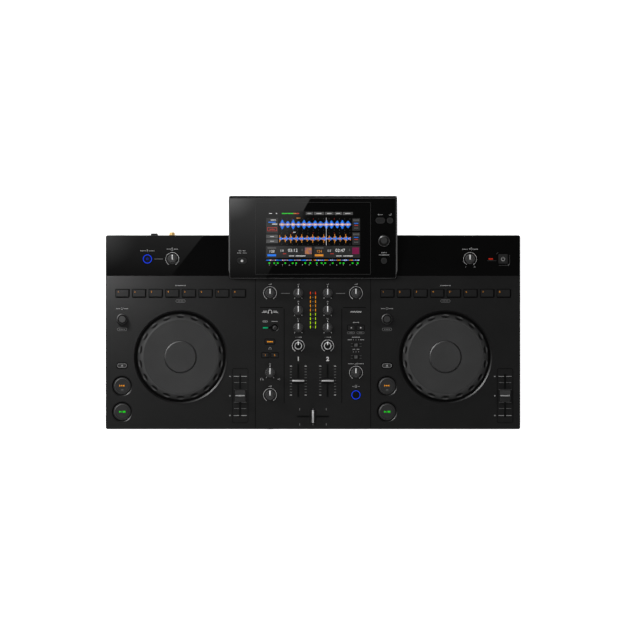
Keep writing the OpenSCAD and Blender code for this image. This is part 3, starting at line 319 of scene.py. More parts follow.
finishLooks = {
    "casePlastic": shades(0.0054, 0.007, cloud=16, grain=2400, rough=(0.46, 0.62), bump=0.16, spec=0.22),
    "polishedSheet": shades(0.0018, 0.0024, cloud=9, grain=60, rough=(0.002, 0.006), bump=0.0),
    "touchGlass": shades(0.0016, 0.0022, cloud=9, grain=40, rough=(0.002, 0.006), bump=0.0),
    "lipGloss": shades(0.002, 0.003, cloud=40, grain=1400, rough=(0.31, 0.36), bump=0.02, spec=0.8),
    "edgeGloss": shades(0.006, 0.009, cloud=40, grain=1400, rough=(0.46, 0.51), bump=0.02,
                        spec=0.5, ior=2.2),
    "crownPlastic": shades(0.044, 0.052, cloud=40, grain=1400, rough=(0.48, 0.54), bump=0.02,
                           spec=0.2, ior=1.7),
    "seamBlack": shades(0.0012, 0.002, cloud=60, grain=1400, rough=(0.7, 0.85), bump=0.02, spec=0.05),
    "facePlastic": shades(0.019, 0.023, cloud=60, grain=2600, rough=(0.42, 0.55), bump=0.1, spec=0.3),
    "padRubber": shades(0.0095, 0.0125, cloud=40, grain=2600, rough=(0.5, 0.66), bump=0.14, spec=0.15),
    "keyPlastic": shades(0.01, 0.013, cloud=60, grain=2600, rough=(0.42, 0.55), bump=0.1, spec=0.3),
    "knobPlastic": shades(0.028, 0.037, cloud=120, grain=2600, rough=(0.36, 0.5), bump=0.14, spec=0.4),
    "shiftPlastic": shades(0.019, 0.024, cloud=120, grain=2600, rough=(0.44, 0.56), bump=0.1, spec=0.3),
    "capPlastic": shades(0.01, 0.013, cloud=90, grain=2400, rough=(0.36, 0.5), bump=0.1, spec=0.35),
    "footRubber": shades(0.012, 0.017, cloud=80, grain=1500, rough=(0.7, 0.85), bump=0.4),
    "jackMetal": {"dark": grey(0.5, 0.02), "light": grey(0.66, 0.02), "cloud": 220, "grain": 900,
                  "rough": (0.22, 0.36), "bump": 0.06, "metal": 1.0},
    "goldMetal": {"dark": (0.7, 0.46, 0.17), "light": (0.86, 0.6, 0.26), "cloud": 260, "grain": 900,
                  "rough": (0.34, 0.46), "bump": 0.05, "metal": 0.6},
    "screwSteel": shades(0.03, 0.05, cloud=300, grain=1200, rough=(0.3, 0.45), bump=0.1, metal=1.0),
    "boardBlack": {"dark": (0.0016, 0.0024, 0.002), "light": (0.0022, 0.0032, 0.0026), "cloud": 60,
                   "grain": 700, "rough": (0.5, 0.65), "bump": 0.1, "spec": 0.2},
    "pointerWhite": shades(0.76, 0.84, cloud=300, grain=2000, rough=(0.42, 0.55), bump=0.03),
    "capSilver": shades(0.42, 0.52, cloud=160, grain=1600, rough=(0.36, 0.5), bump=0.08, metal=0.25),
    "pixelBlack": shades(0.0016, 0.0024, cloud=30, grain=60, rough=(0.04, 0.06), bump=0.0),
    "knobBlack": shades(0.0022, 0.0034, cloud=120, grain=2000, rough=(0.4, 0.5), bump=0.1, spec=0.2),
    "jackWhite": shades(0.6, 0.7, cloud=200, grain=1600, rough=(0.4, 0.5), bump=0.04),
    "jackRed": {"dark": (0.4, 0.012, 0.012), "light": (0.5, 0.018, 0.016), "cloud": 200, "grain": 1600,
                "rough": (0.4, 0.5), "bump": 0.04},
}


def around(colour, spread):
    return [tuple(part * (1 + side * spread) for part in colour) for side in (-1, 1)]


def inkLook(level):
    dark, light = around(grey(level), 0.08)
    return {"dark": dark, "light": light, "cloud": 90, "grain": 1800, "rough": (0.5, 0.62), "bump": 0.03}


def glowLook(colour, strength, cloud=300, rough=(0.5, 0.6), spec=0.03):
    dark, light = around(colour, 0.12)
    return {"dark": dark, "light": light, "cloud": cloud, "grain": 800, "rough": rough, "bump": 0.0,
            "glow": strength, "spec": spec}


inkLevels = {"whiteInk": 0.54, "labelInk": 0.3, "greyInk": 0.125, "trimInk": 0.08, "dimInk": 0.035}
lightColours = {
    "orangeLight": ((0.46, 0.17, 0.008), 0.9), "padMark": ((0.5, 0.19, 0.01), 0.6),
    "greenLight": ((0.008, 0.46, 0.008), 0.85), "meterGreen": ((0.27, 0.46, 0.003), 0.9),
    "meterAmber": ((0.47, 0.175, 0.003), 0.9), "meterRed": ((0.5, 0.03, 0.006), 0.9),
    "ringBlue": ((0.003, 0.016, 0.25), 3.6), "markBlue": ((0.003, 0.016, 0.25), 1.4),
    "linkTeal": ((0.002, 0.19, 0.075), 0.9), "lampRed": ((0.27, 0.012, 0.005), 0.9),
    "whiteLight": (grey(0.43), 0.3),
}
pixelColours = {
    "pixelDark": (grey(0.014), 1.0), "pixelGrey": (grey(0.048), 0.8), "pixelWhite": (grey(0.45), 0.8),
    "pixelBlue": ((0.012, 0.115, 0.5), 1.0), "pixelOrange": ((0.4, 0.15, 0.018), 0.9),
    "pixelGreen": ((0.01, 0.41, 0.015), 0.9), "pixelRed": ((0.35, 0.024, 0.015), 0.8),
    "pixelCrimson": ((0.12, 0.008, 0.04), 0.8),
}
for name, level in inkLevels.items():
    finishLooks[name] = inkLook(level)
for name, (colour, strength) in lightColours.items():
    finishLooks[name] = glowLook(colour, strength)
for name, (colour, strength) in pixelColours.items():
    finishLooks[name] = glowLook(colour, strength, 60, (0.04, 0.06), 0.5)
finishLooks["screenFrame"] = finishLooks["polishedSheet"]
finishLooks["browseGloss"] = dict(finishLooks["edgeGloss"], spec=0.85)
finishLooks["pixelMixed"] = dict(finishLooks["pixelCrimson"], dark=(0.02, 0.03, 0.16),
                                 light=(0.3, 0.12, 0.02), cloud=190)
finishes = {name: grainFinish(name, look) for name, look in finishLooks.items()}

# satin jog plate with fine turned rings, centred on its own wheel
plateLook = shades(0.041, 0.047, cloud=22, rings=420.0, wander=0.6, rough=0.42, bump=0.06, spec=0.1)


def turnedFinish(name, centre):
    finish, tree, shader = newFinish(name)
    shift = addNode(tree, "Mapping", {"Vector": objectPlace(tree), "Location": (-centre.x, -centre.y, 0)})
    rings = addNode(tree, "TexWave", {"Vector": shift.outputs["Vector"], "Scale": plateLook["rings"],
                                      "Distortion": plateLook["wander"]},
                    wave_type="RINGS", rings_direction="Z")
    addBump(tree, shader, rings.outputs["Fac"], plateLook["bump"])
    colours = plateLook["dark"], plateLook["light"]
    shade = rampBetween(tree, noise(tree, plateLook["cloud"]), 0.35, 0.65, colours)
    feed(tree, shader, {"Base Color": shade, "Roughness": plateLook["rough"],
                        "Specular IOR Level": plateLook["spec"]})
    return finish


# distance from an axis along Z, and the angle round it, in mm and radians
def aboutAxis(tree, centre):
    shift = addNode(tree, "Mapping", {"Vector": objectPlace(tree), "Scale": (1 / mm, 1 / mm, 0),
                                      "Location": (-centre.x / mm, -centre.y / mm, 0)}).outputs["Vector"]
    split = addNode(tree, "SeparateXYZ", {"Vector": shift})
    length = addNode(tree, "VectorMath", {0: shift}, operation="LENGTH")
    return length.outputs["Value"], mathNode(tree, "ARCTAN2", split.outputs["Y"], split.outputs["X"])


def mathNode(tree, operation, *values, clamp=False):
    node = addNode(tree, "Math", dict(enumerate(values)), operation=operation, use_clamp=clamp)
    return node.outputs["Value"]


def mixColours(tree, share, *colours):
    first, second = ((*colour, 1) if isinstance(colour, tuple) else colour for colour in colours)
    return addNode(tree, "Mix", {"Factor": share, 6: first, 7: second}, data_type="RGBA").outputs[2]


# rim colours: top to low is painted shade falling off outward across the slope, inner is painted shade and
# outer a painted highlight on the two halves of each hollow, and past edge the rim is painted black as
# shade in the gap
hollowShadeLook = {
    "count": 18, "r": 61.3, "half": 3.0, "long": 0.7, "top": grey(0.062), "low": grey(0.03),
    "inner": grey(0.006), "outer": grey(0.08), "black": grey(0.001), "fall": (57.5, 63.4), "edge": 64.0,
    "sharp": 4.0, "edgeSharp": 5.0, "split": (1.2, 0.15),
    "rough": (0.5, 0.62), "bump": 0.12, "grain": 2400, "spec": 0.2,
}
# the left loop knob's disc is painted lighter than the right one's, as painted light from the upper left
endlessLook = {
    "disc": {"loop_knob_left": 0.06, "loop_knob_right": 0.034, "browse_knob": 0.036}, "rim": grey(0.004),
    "r": 4.8, "soft": 0.4, "rough": (0.44, 0.56), "bump": 0.1, "grain": 2600, "spec": 0.12,
}


def hollowFinish(name, centre):  # painted shade on the inner half of each hollow, painted highlight on the outer half, painted shade growing towards the outer rim, and painted black shade past the edge
    finish, tree, shader = newFinish(name)
    away, angle = aboutAxis(tree, centre)
    turns = mathNode(tree, "MULTIPLY", angle, hollowShadeLook["count"])
    wave = mathNode(tree, "ADD", mathNode(tree, "COSINE", turns), 1)
    along = mathNode(tree, "MULTIPLY", wave, hollowShadeLook["long"])
    across = mathNode(tree, "DIVIDE", mathNode(tree, "SUBTRACT", away, hollowShadeLook["r"]), hollowShadeLook["half"])
    square = mathNode(tree, "POWER", across, 2)
    inside = mathNode(tree, "SUBTRACT", mathNode(tree, "SUBTRACT", 1, along), square)
    hollow = mathNode(tree, "MULTIPLY", inside, hollowShadeLook["sharp"], clamp=True)
    half = mathNode(tree, "MULTIPLY_ADD", across, *hollowShadeLook["split"], clamp=True)
    tint = mixColours(tree, half, hollowShadeLook["inner"], hollowShadeLook["outer"])
    start, end = hollowShadeLook["fall"]
    fall = mathNode(tree, "DIVIDE", mathNode(tree, "SUBTRACT", away, start), end - start, clamp=True)
    base = mixColours(tree, fall, hollowShadeLook["top"], hollowShadeLook["low"])
    past = mathNode(tree, "SUBTRACT", away, hollowShadeLook["edge"])
    edge = mathNode(tree, "MULTIPLY", past, hollowShadeLook["edgeSharp"], clamp=True)
    shade = mixColours(tree, edge, mixColours(tree, hollow, base, tint), hollowShadeLook["black"])
    feed(tree, shader, {"Base Color": shade, "Specular IOR Level": hollowShadeLook["spec"]})
    addGrain(tree, shader, hollowShadeLook)
    return finish


def endlessFinish(name, centre):
    finish, tree, shader = newFinish(name)
    past = mathNode(tree, "SUBTRACT", aboutAxis(tree, centre)[0], endlessLook["r"])
    edge = mathNode(tree, "DIVIDE", past, endlessLook["soft"], clamp=True)
    shade = mixColours(tree, edge, grey(endlessLook["disc"][name]), endlessLook["rim"])
    feed(tree, shader, {"Base Color": shade, "Specular IOR Level": endlessLook["spec"]})
    addGrain(tree, shader, endlessLook)
    return finish


nodeFinishes = {
    "bottom_case": "casePlastic", "top_panel": "casePlastic", "gloss_panel": "polishedSheet",
    "display_stand": "casePlastic", "display_back": "seamBlack", "display_front": "screenFrame",
    "touch_screen": "touchGlass", "control_boards": "boardBlack", "jacks": "jackMetal",
    "rubber_feet": "footRubber", "case_screws": "screwSteel", "light_lenses": "whiteLight",
}
startFinishes = {
    "hot_cue_pads": "padRubber", "tempo_fader": "capPlastic", "channel_fader": "capPlastic",
    "crossfader": "capPlastic", "shift_button": "shiftPlastic", "fx_type": "capPlastic",
    "fx_channel": "capPlastic", "color_knob": "knobBlack", "cue_button": "facePlastic",
    "play_button": "facePlastic", "link_button": "facePlastic", "mic_button": "knobBlack",
    "fx_on_button": "knobBlack",
}


def boxMiddle(name):
    low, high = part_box(name)
    return (low + high) / 2


for name, node in nodes.items():
    if name.startswith("jog_plate"):
        finish = turnedFinish(name.replace("jog_plate_", "turnedPlate"), boxMiddle(name))
    elif name.startswith("jog_wheel"):
        finish = hollowFinish(name.replace("jog_wheel_", "hollowRim"), boxMiddle(name))
    elif name.startswith(("loop_knob", "browse_knob")):
        finish = endlessFinish(name, boxMiddle(name))
    else:
        kind = nodeFinishes.get(name, "knobPlastic" if "_knob" in name else "keyPlastic")
        for start, chosen in startFinishes.items():
            if name.startswith(start):
                kind = chosen
        finish = finishes[kind]
    node.data.materials.clear()
    node.data.materials.append(finish)
print("finishes set on the CAD nodes")


# printed legends on the panel

printLook = {"thick": 0.06, "sink": -0.02, "arc": (9.55, 10.05), "colourArc": (8.6, 9.35),
             "arcOpening": 62.0, "tick": 0.8, "tempoSink": -1.02, "figureRise": 0.01, "figure": 0.05}
arcKnobs = [(-outerX, eqRows[0]), (outerX, eqRows[0]), (band["micX"], band["v"]),
            (band["masterX"], band["v"]), (-outerX, mixer["levelV"]), (outerX, mixer["mixV"])]
colourKnobs = [(side * channelX, mixer["colourV"]) for side in (-1, 1)]
tickKnobs = [(side * channelX, v) for side in (-1, 1) for v in eqRows] + [(-outerX, mixer["mixV"])]


def ink(x, v):
    return onPanel(x, v, printLook["sink"])


def inkBar(x, v, w, d, turn=0.0):
    barMark(ink(x, v), w, d, turn)


def spoke(x, v, r, turn, w, d):  # bar at an angle round a knob
    angle = math.radians(turn)
    inkBar(x + r * math.cos(angle), v + r * math.sin(angle), w, d, turn)


def headphones(x, v, s):
    arcMark(ink(x, v), 2.6 * s, 3.3 * s, 170, -90, 40)
    for side in (-1, 1):
        inkBar(x + side * 2.75 * s, v - 1.2 * s, 1.5 * s, 2.6 * s)


def microphone(x, v, s):
    inkBar(x, v + 0.9 * s, 1.5 * s, 2.4 * s)
    arcMark(ink(x, v + 0.5 * s), 1.5 * s, 2.0 * s, 190, 90, 36)
    inkBar(x, v - 2.1 * s, 0.5 * s, 1.4 * s)
    inkBar(x, v - 2.8 * s, 2.4 * s, 0.5 * s)


def speaker(x, v, s):
    inkBar(x - 1.6 * s, v, 1.1 * s, 1.5 * s)
    arrowMark(ink(x - 0.4 * s, v), 1.7 * s, 180)
    for r in (1.5, 2.5):
        arcMark(ink(x + 0.2 * s, v), r * s, (r + 0.45) * s, 260, 180, 40)


def levelWedge(x, v, s):  # rising bars
    for step in range(4):
        h = (0.6 + 0.55 * step) * s
        inkBar(x + (step - 1.5) * 1.25 * s, v - 1.1 * s + h / 2, 0.75 * s, h)


def bandBars(x, v, s, tall):  # three bars, one of them tall
    for bar in range(3):
        h = (2.2 if bar == tall else 1.0) * s
        inkBar(x + (bar - 1) * 1.3 * s, v - 1.0 * s + h / 2, 0.75 * s, h)


def loopArrow(x, v, s):
    arcMark(ink(x, v), 1.5 * s, 2.05 * s, 70, 40, 36)
    arrowMark(ink(x + 1.7 * s, v + 0.75 * s), 1.1 * s, 320)


def zigzag(x, v, s, count):
    for step in range(count):
        inkBar(x + (step - (count - 1) / 2) * 1.6 * s, v, 0.75 * s, 3.1 * s, 32 if step % 2 else -32)


def dashRow(x, v, w, gap=0.0, tall=1.1, place=ink):  # short dashes, with room for a sign in the middle
    count = max(2, round(w / 2.1))
    for dash in range(count):
        away = (dash - (count - 1) / 2) * w / count
        if abs(away) > gap / 2:
            barMark(place(x + away, v), 1.5, tall)


def outline(place, x, v, w, d, r, line):  # rounded frame on any flat
    for side in (-1, 1):
        barMark(place(x + side * (w - line) / 2, v), line, d - 2 * r)
        barMark(place(x, v + side * (d - line) / 2), w - 2 * r, line)
        for end in (-1, 1):
            arcMark(place(x + side * (w / 2 - r), v + end * (d / 2 - r)), r - line, r, 270,
                    math.degrees(math.atan2(-end, -side)), 32)


def faderTicks(steps, line):
    for x in (-channelX, channelX):
        for step in steps:
            for edge in (-1, 1):
                inkBar(x + edge * 11.1, mixer["faderV"] + step * mixer["faderStep"], 3.1, line)


def figure(text, x, v, size, bold=0.0):
    return numeral(text, onPanel(x, v, printLook["figureRise"]), size, printLook["figure"], bold)


whitePrint = startMarks("whitePrint")
for spots, reach in ((arcKnobs, printLook["arc"]), (colourKnobs, printLook["colourArc"])):
    for x, v in spots:
        arcMark(ink(x, v), *reach, printLook["arcOpening"], -90, 72)
        for side in (-1, 1):  # brighter ends
            spoke(x, v, sum(reach) / 2, -90 + side * 33, 1.3, 0.9)
for x, v in tickKnobs:
    inkBar(x, v + 9.8, printLook["tick"], 2.2)
    for side in (-1, 1):
        spoke(x, v, 9.3, -90 + side * 36, 1.7, printLook["tick"])
faderTicks((-5, 5), 0.85)
headphones(-outerX, 176.6, 0.95)
for side in (-1, 1):
    for line in (0.0, 1.7):
        inkBar(-outerX + side * (8.6 - line * 0.6), 175.8 + line, 7.0 - line, 0.65)
zigzag(outerX, 176.6, 0.8, 13)
endMarks(whitePrint, printLook["thick"], finishes["whiteInk"])
joinTo(whitePrint, [figure(str(number), x, 105.4, 8.6, 0.3) for number, x in channels])

labelPrint = startMarks("labelPrint")
for side in (-1, 1):
    levelWedge(side * outerX, 218.4, 1.05)
    for tall, v in zip((2, 1, 0), eqRows):
        bandBars(side * channelX, v + 13.4, 0.85, tall)
    for dot in range(5):  # small to large
        discMark(ink(side * channelX + (dot - 2) * 2.1, 138.4), 0.35 + 0.12 * dot, 12)
levelWedge(-outerX, 64.8, 1.05)
levelWedge(outerX, 98.6, 1.05)
dashRow(outerX, 98.4, 24.0, 8.0)
dashRow(outerX, 64.2, 11.0, 5.0)
dashRow(band["masterX"], 270.8, 24.0, 7.5)
dashRow(band["micX"], 271.0, 17.0, 5.0)
dashRow(band["micKeyX"], 268.4, 22.0, 5.0)
bandBars(-outerX, 98.4, 0.9, 1)
headphones(-77.0, 75.2, 0.62)
speaker(-52.0, 75.2, 0.75)
headphones(-outerX, 121.4, 0.6)
dashRow(outerX, 138.4, 12.4)
dashRow(outerX, 134.6, 25.0, 11.0)
dashRow(outerX, 120.2, 10.4)
for v in (134.6, 116.4):
    for dot in (-4.0, 0, 4.0):
        inkBar(outerX + dot, v, 0.6, 1.6)
inkBar(outerX, 160.6, 5.4, 0.7)
for side, turn in ((-1, 180), (1, 0)):
    arrowMark(ink(outerX + side * 3.6, 160.6), 1.3, turn)
arcMark(ink(outerX, 64.2), 1.2, 1.85, 70, 90, 30)
inkBar(outerX, 65.4, 0.65, 1.8)
for link in (-73.4, -70.4):  # two chain links
    pillMark(ink(link, 162.2), 4.6, 2.6, 0.6)
inkBar(-57.8, 162.2, 9.0, 0.8)
microphone(band["micX"], 271.6, 0.8)
microphone(band["micKeyX"], 269.0, 0.7)
speaker(band["masterX"], 271.4, 1.0)
for side, jogX, columnX, tempoX in decks:
    loopArrow(columnX, 181.6, 0.9)
    dashRow(columnX, 181.4, 18.4, 5.6)
    inkBar(jogX, 216.2, 9.6, 0.9)
    for edge in (-1, 1):
        discMark(ink(jogX + edge * 6.8, 216.2), 0.9, 12)
    for edge in (-1, 1):
        for v in (79.4, 20.5):
            barMark(onPanel(tempoX + edge * 5.7, v, printLook["tempoSink"]), 8.2, 0.8)
    inkBar(tempoX - 15.4, 79.4, 2.4, 0.9)
    inkBar(tempoX - 15.4, 20.6, 2.4, 0.9)
    inkBar(tempoX - 15.4, 20.6, 0.9, 2.4)
    discMark(ink(tempoX - 15.4, 50.2), 1.1, 16)
endMarks(labelPrint, printLook["thick"], finishes["labelInk"])
joinTo(labelPrint, [figure(text, x, 244.2, 2.8) for text, x in (("0", 230.0), ("10", 243.4))])

tickPrint = startMarks("tickPrint")
faderTicks(range(-4, 5), 0.65)
for side in (-1, 1):
    inkBar(side * 41.5, 204.4, 13.6, 0.8)  # trim to high
    for x in (-20.0, 20.0):
        inkBar(x, 18.5 + side * 11.4, 1.0, 3.2)
    inkBar(0, 18.5 + side * 11.4, 1.0, 2.4)
inkBar(-232.3, band["v"], 12.6, 0.8)
for pill in ((57.1, 145.0), (71.5, 145.0)):
    pillMark(ink(*pill), 11.4, 3.6, 0.45)
    inkBar(*pill, 5.2, 0.9)
for side, jogX, columnX, tempoX in decks:
    for x, v in ((columnX, 150.2), (jogX, 192.9)):
        pillMark(ink(x, v), 14.6, 4.7, 0.5)
        for dot in range(4):
            inkBar(x + (dot - 1.5) * 2.3, v, 1.4, 1.3)
    for edge in (-1, 1):
        for v in (70.2, 59.7, 40.2, 31.0):
            barMark(onPanel(tempoX + edge * 5.4, v, printLook["tempoSink"]), 7.6, 0.6)
for row in range(9):
    inkBar(0, mixer["meterTop"] - row * mixer["meterPitch"], 1.3, 1.1)
endMarks(tickPrint, printLook["thick"], finishes["greyInk"])

# painted highlights along the edges of the power recess and of the lamp's groove, and on a corner of the
# power recess
edgePrint = startMarks("edgePrint")
inkBar(296.0, band["v"], 0.5, 12.4)
inkBar(band["powerX"], 246.4, 12.4, 0.5)
inkBar(269.2, 253.7, 13.6, 0.45)
arcMark(ink(279.7, 262.7), 3.0, 3.5, 290, -45, 48)
endMarks(edgePrint, printLook["thick"], finishes["dimInk"])
cornerPrint = startMarks("cornerPrint")
arcMark(ink(292.4, 250.0), 3.2, 3.9, 280, 135, 48)
endMarks(cornerPrint, printLook["thick"], finishes["greyInk"])
for piece in (whitePrint, labelPrint, tickPrint, edgePrint, cornerPrint):
    carry(piece, "console")
print("legends printed")


# lips of the wells and buttons, and painted black shade in the wells, round the buttons, pads and keys, and
# in the grooves

lipLook = {"well": (68.0, 70.2), "button": (13.25, 14.65), "link": (4.05, 5.1, -0.77, -0.28),
           "dip": 0.47, "thick": 0.04, "raised": (14.35, 15.35, -0.06, 0.36),
           "linkRaised": (5.1, 5.95, -0.28, 0.14)}
keyShadeLook = {"thick": 0.03, "dust": (65.3, 68.0), "dustSink": -1.04, "padSink": -1.29, "grooveSink": -0.79,
            "pad": (20.8, 12.6, 1.7, 1.1), "tempo": (24.3, 82.4, 3.0, 0.55), "shift": (17.8, 9.8, 0.9),
            "masterKey": (15.6, 8.8, 1.8, 0.75), "key": (12.2, 8.8, 1.8, 0.75),
            "grooves": ((86.7, 115.5, 0.8, 229), (62.5, 183.2, 34.2, 0.9), (43.4, 110.2, 0.9, 142))}


def lipMark(x, v, inner, outer):  # follows the dip of the panel
    slopeMark(onPanel(x, v, 0.01), inner, outer, (inner - outer) * lipLook["dip"], 0)


spared = [nodes["jog_wheel_left"], nodes["jog_wheel_right"]]  # not lit from the front, right and back
edgeShapes = {  # inner and outer radius, height at each, thickness
    "crown": (56.2, 57.9, -1.56, -2.3, 0.9), "disc": (22.6, 24.05, -0.1, -0.72, 0.4),
    "discSeam": (23.95, 24.55, -0.7, -0.7, 0.06), "loop": (6.7, 8.1, -0.3, -0.9, 0.36),
    "button": (10.7, 11.85, 0.02, -0.46, 0.3), "skirt": (11.85, 12.95, -0.22, -1.3, 0.06),
    "link": (1.5, 3.2, 0.02, -0.56, 0.3), "browse": (7.0, 8.5, -0.3, -1.3, 0.36),
}


def edgeRing(name, body, spot, shape, finish):
    *slope, thick = edgeShapes[shape]
    piece = startMarks(name)
    slopeMark(spot, *slope)
    endMarks(piece, thick, finishes[finish], smooth=30)
    carry(piece, body)
    spared.append(piece)
    return piece


def above(x, v, body):
    return Vector((x * mm, (panel["front"] + v) * mm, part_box(body)[1].z))


def besidePad(x, v):
    return onPanel(x, v, keyShadeLook["padSink"])


panelLips = startMarks("panelLips")
for side, jogX, columnX, tempoX in decks:
    lipMark(jogX, deck["jogV"], *lipLook["well"])
    for v in (deck["cueV"], deck["playV"]):
        slopeMark(onPanel(columnX, v), *lipLook["raised"])
slopeMark(onPanel(mixer["linkX"], mixer["keyV"]), *lipLook["linkRaised"])
endMarks(panelLips, lipLook["thick"], finishes["lipGloss"], smooth=30)
spared.append(panelLips)

# painted shade: black on the floor of each well's gap, round the cue and play buttons and the link button,
# in the trenches round the pads, round the tempo recess and the keys, and on the floors of the grooves; the
# pads also get painted shadow at their right and front
keySeams = startMarks("keySeams")
for side, jogX, columnX, tempoX in decks:
    arcMark(onPanel(jogX, deck["jogV"], keyShadeLook["dustSink"]), *keyShadeLook["dust"], 0, 0, 128)
    for v in (deck["cueV"], deck["playV"]):
        lipMark(columnX, v, *lipLook["button"])
    for pad in range(8):
        padX = jogX + (pad - 3.5) * deck["padPitch"]
        outline(besidePad, padX, deck["padV"], *keyShadeLook["pad"])
        inkBar(padX + 10.85, 204.6, 0.9, 12.6)  # deeper shade at the right and front
        inkBar(padX + 0.2, 198.05, 20.8, 0.9)
    outline(ink, tempoX, deck["tempoV"], *keyShadeLook["tempo"])
    pillMark(ink(columnX, deck["shiftV"]), *keyShadeLook["shift"])
outline(ink, -outerX, mixer["masterKeyV"], *keyShadeLook["masterKey"])
slopeMark(onPanel(mixer["linkX"], mixer["keyV"], 0.01), *lipLook["link"])
inkBar(-65.5, mixer["keyV"], 4.4, 2.4)
for side in (-1, 1):
    for x, v, w, d in keyShadeLook["grooves"]:
        barMark(onPanel(side * x, v, keyShadeLook["grooveSink"]), w, d)
    outline(ink, -outerX + side * mixer["keyDx"], mixer["cueKeyV"], *keyShadeLook["key"])
    outline(ink, outerX + side * mixer["keyDx"], mixer["keyV"], *keyShadeLook["key"])
endMarks(keySeams, keyShadeLook["thick"], finishes["seamBlack"])
for piece in (panelLips, keySeams):
    carry(piece, "console")

for side, jogX, columnX, tempoX in decks:
    word = side.capitalize()
    wheel, loop = "jog_" + side, "loop_knob_" + side
    discTop = above(jogX, deck["jogV"], "jog_plate_" + side)
    edgeRing("crownRing" + word, wheel, discTop, "crown", "crownPlastic")
    edgeRing("discRing" + word, wheel, discTop, "disc", "edgeGloss")
    # thin black ring at the edge of the jog disc: painted shade
    edgeRing("discSeam" + word, wheel, discTop, "discSeam", "seamBlack")
    edgeRing("loopRing" + word, loop, above(columnX, deck["loopV"], loop), "loop", "edgeGloss")
    for kind in ("cue", "play"):
        button = "%s_button_%s" % (kind, side)
        spot = above(columnX, deck[kind + "V"], button)
        edgeRing(kind + "Edge" + word, button, spot, "button", "edgeGloss")
        # black skirt round each cue and play button edge: painted shade
        edgeRing(kind + "Skirt" + word, button, spot, "skirt", "seamBlack")
linkTop = above(mixer["linkX"], mixer["keyV"], "link_button")
edgeRing("linkRing", "link_button", linkTop, "link", "edgeGloss")
browseTop = onSlab(screen["keysX"], 61.7, 8.5)
tiltToScreen(edgeRing("browseRing", "browse_knob", browseTop, "browse", "browseGloss"))
print("lips and edges made")


# lights of the panel, in place of the plain lenses

lightLook = {"meter": (1.1, 3.8), "x": 3.85, "deep": 2.3, "rise": 0.05,
             "ring": (5.8, 6.65), "ringRise": 0.3, "soften": 0.12, "ringSoften": 0.2}


def lensBars(name, spots, size, rise, finish):
    piece = startMarks(name)
    for spot in spots:
        barMark(Vector(spot) - Vector((0, 0, lightLook["deep"] * mm)), *size)
    endMarks(piece, lightLook["deep"] + rise, finish, lightLook["soften"])
    carry(piece, "console")
    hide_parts("light_lenses")


meterRows = {"meterGreen": range(5, 9), "meterAmber": range(1, 5), "meterRed": range(0, 1)}
for name, rows in meterRows.items():
    lensBars(name + "Lights", [onPanel(side * lightLook["x"], mixer["meterTop"] - row * mixer["meterPitch"])
                               for side in (-1, 1) for row in rows],
             lightLook["meter"], lightLook["rise"], finishes[name])
lensBars("linkLamp", [onPanel(-71.5, mixer["keyV"], -0.4)], (7.7, 2.0), 0.0, finishes["linkTeal"])
lensBars("powerLamp", [onPanel(267.6, band["v"], -0.4)], (6.7, 1.8), 0.0, finishes["lampRed"])

ringLights = startMarks("ringLights")
for x, v in ((band["micKeyX"], band["v"]), (outerX, mixer["levelV"])):
    arcMark(onPanel(x, v, -lightLook["deep"]), *lightLook["ring"], 0, 0, 72)
endMarks(ringLights, lightLook["deep"] + lightLook["ringRise"], finishes["ringBlue"],
         lightLook["ringSoften"], 35)
carry(ringLights, "console")
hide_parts("light_lenses")
print("lights made")


# pointers, ridges and collars of the moving controls

pointerLook = {"width": 1.5, "seat": 13.62, "thick": 0.46, "edge": 0.12,
               "rib": (5.4, 6.5), "ribFrom": 3.4, "foot": (6.3, 7.5), "footFrom": 2.9, "overlap": 0.2,
               "plain": (-0.9, 5.8)}
pointerKinds = {"color": (1.2, 6.2), "high": (-2.2, 6.3), "mid": (-2.2, 6.3), "low": (-2.2, 6.3),
                "phones_mix": (-2.2, 6.3)}


def pointerName(name):
    words = name.split("_")
    return words[0] + "".join(word.capitalize() for word in words[1:]) + "Pointer"


def pointerMaster(kind, reach):  # line on the top, rib down the side, and a foot on the colour knobs
    wide, edge, finish = pointerLook["width"], pointerLook["edge"], finishes["pointerWhite"]
    seat, ribFrom = pointerLook["seat"], pointerLook["ribFrom"]
    parts = [(*reach, seat, pointerLook["thick"]),
             (*pointerLook["rib"], ribFrom, seat - ribFrom + pointerLook["overlap"])]
    if kind == "color":
        parts.append((*pointerLook["foot"], pointerLook["footFrom"], pointerLook["thick"]))
    blocks = [bevelBlock("pointerPart", (wide, end - start, tall), edge, finish, low, (start + end) / 2)
              for start, end, low, tall in parts]
    joinTo(blocks[0], blocks[1:])
    return blocks[0]


turningKnobs = [name for name in sorted(nodes)
                if "_knob" in name and not name.startswith(("loop", "browse"))]
for kind in ("plain", *pointerKinds):
    pointer = pointerMaster(kind, pointerKinds.get(kind, pointerLook["plain"]))
    for name in turningKnobs:
        if kind == next((start for start in pointerKinds if name.startswith(start)), "plain"):
            middle = boxMiddle(name)
            spot = Vector((middle.x, middle.y, panel["top"] * mm))
            placeCopy(pointer, pointerName(name), spot, name)
    dropMaster(pointer)

# pale collar round the top of the colour knobs
collarLook = {"inner": 4.5, "outer": 5.5, "from": 12.2, "to": 14.06, "soften": 0.1}
collar = startMarks("collarMaster")
arcMark(Vector((0, 0, collarLook["from"] * mm)), collarLook["inner"], collarLook["outer"], 0, 0, 48)
endMarks(collar, collarLook["to"] - collarLook["from"], finishes["whiteInk"], collarLook["soften"], 35)
for number, x in channels:
    spot = onPanel(x, mixer["colourV"])
    placeCopy(collar, "colorKnobCollar%d" % number, spot, "color_knob_%d" % number)
dropMaster(collar)

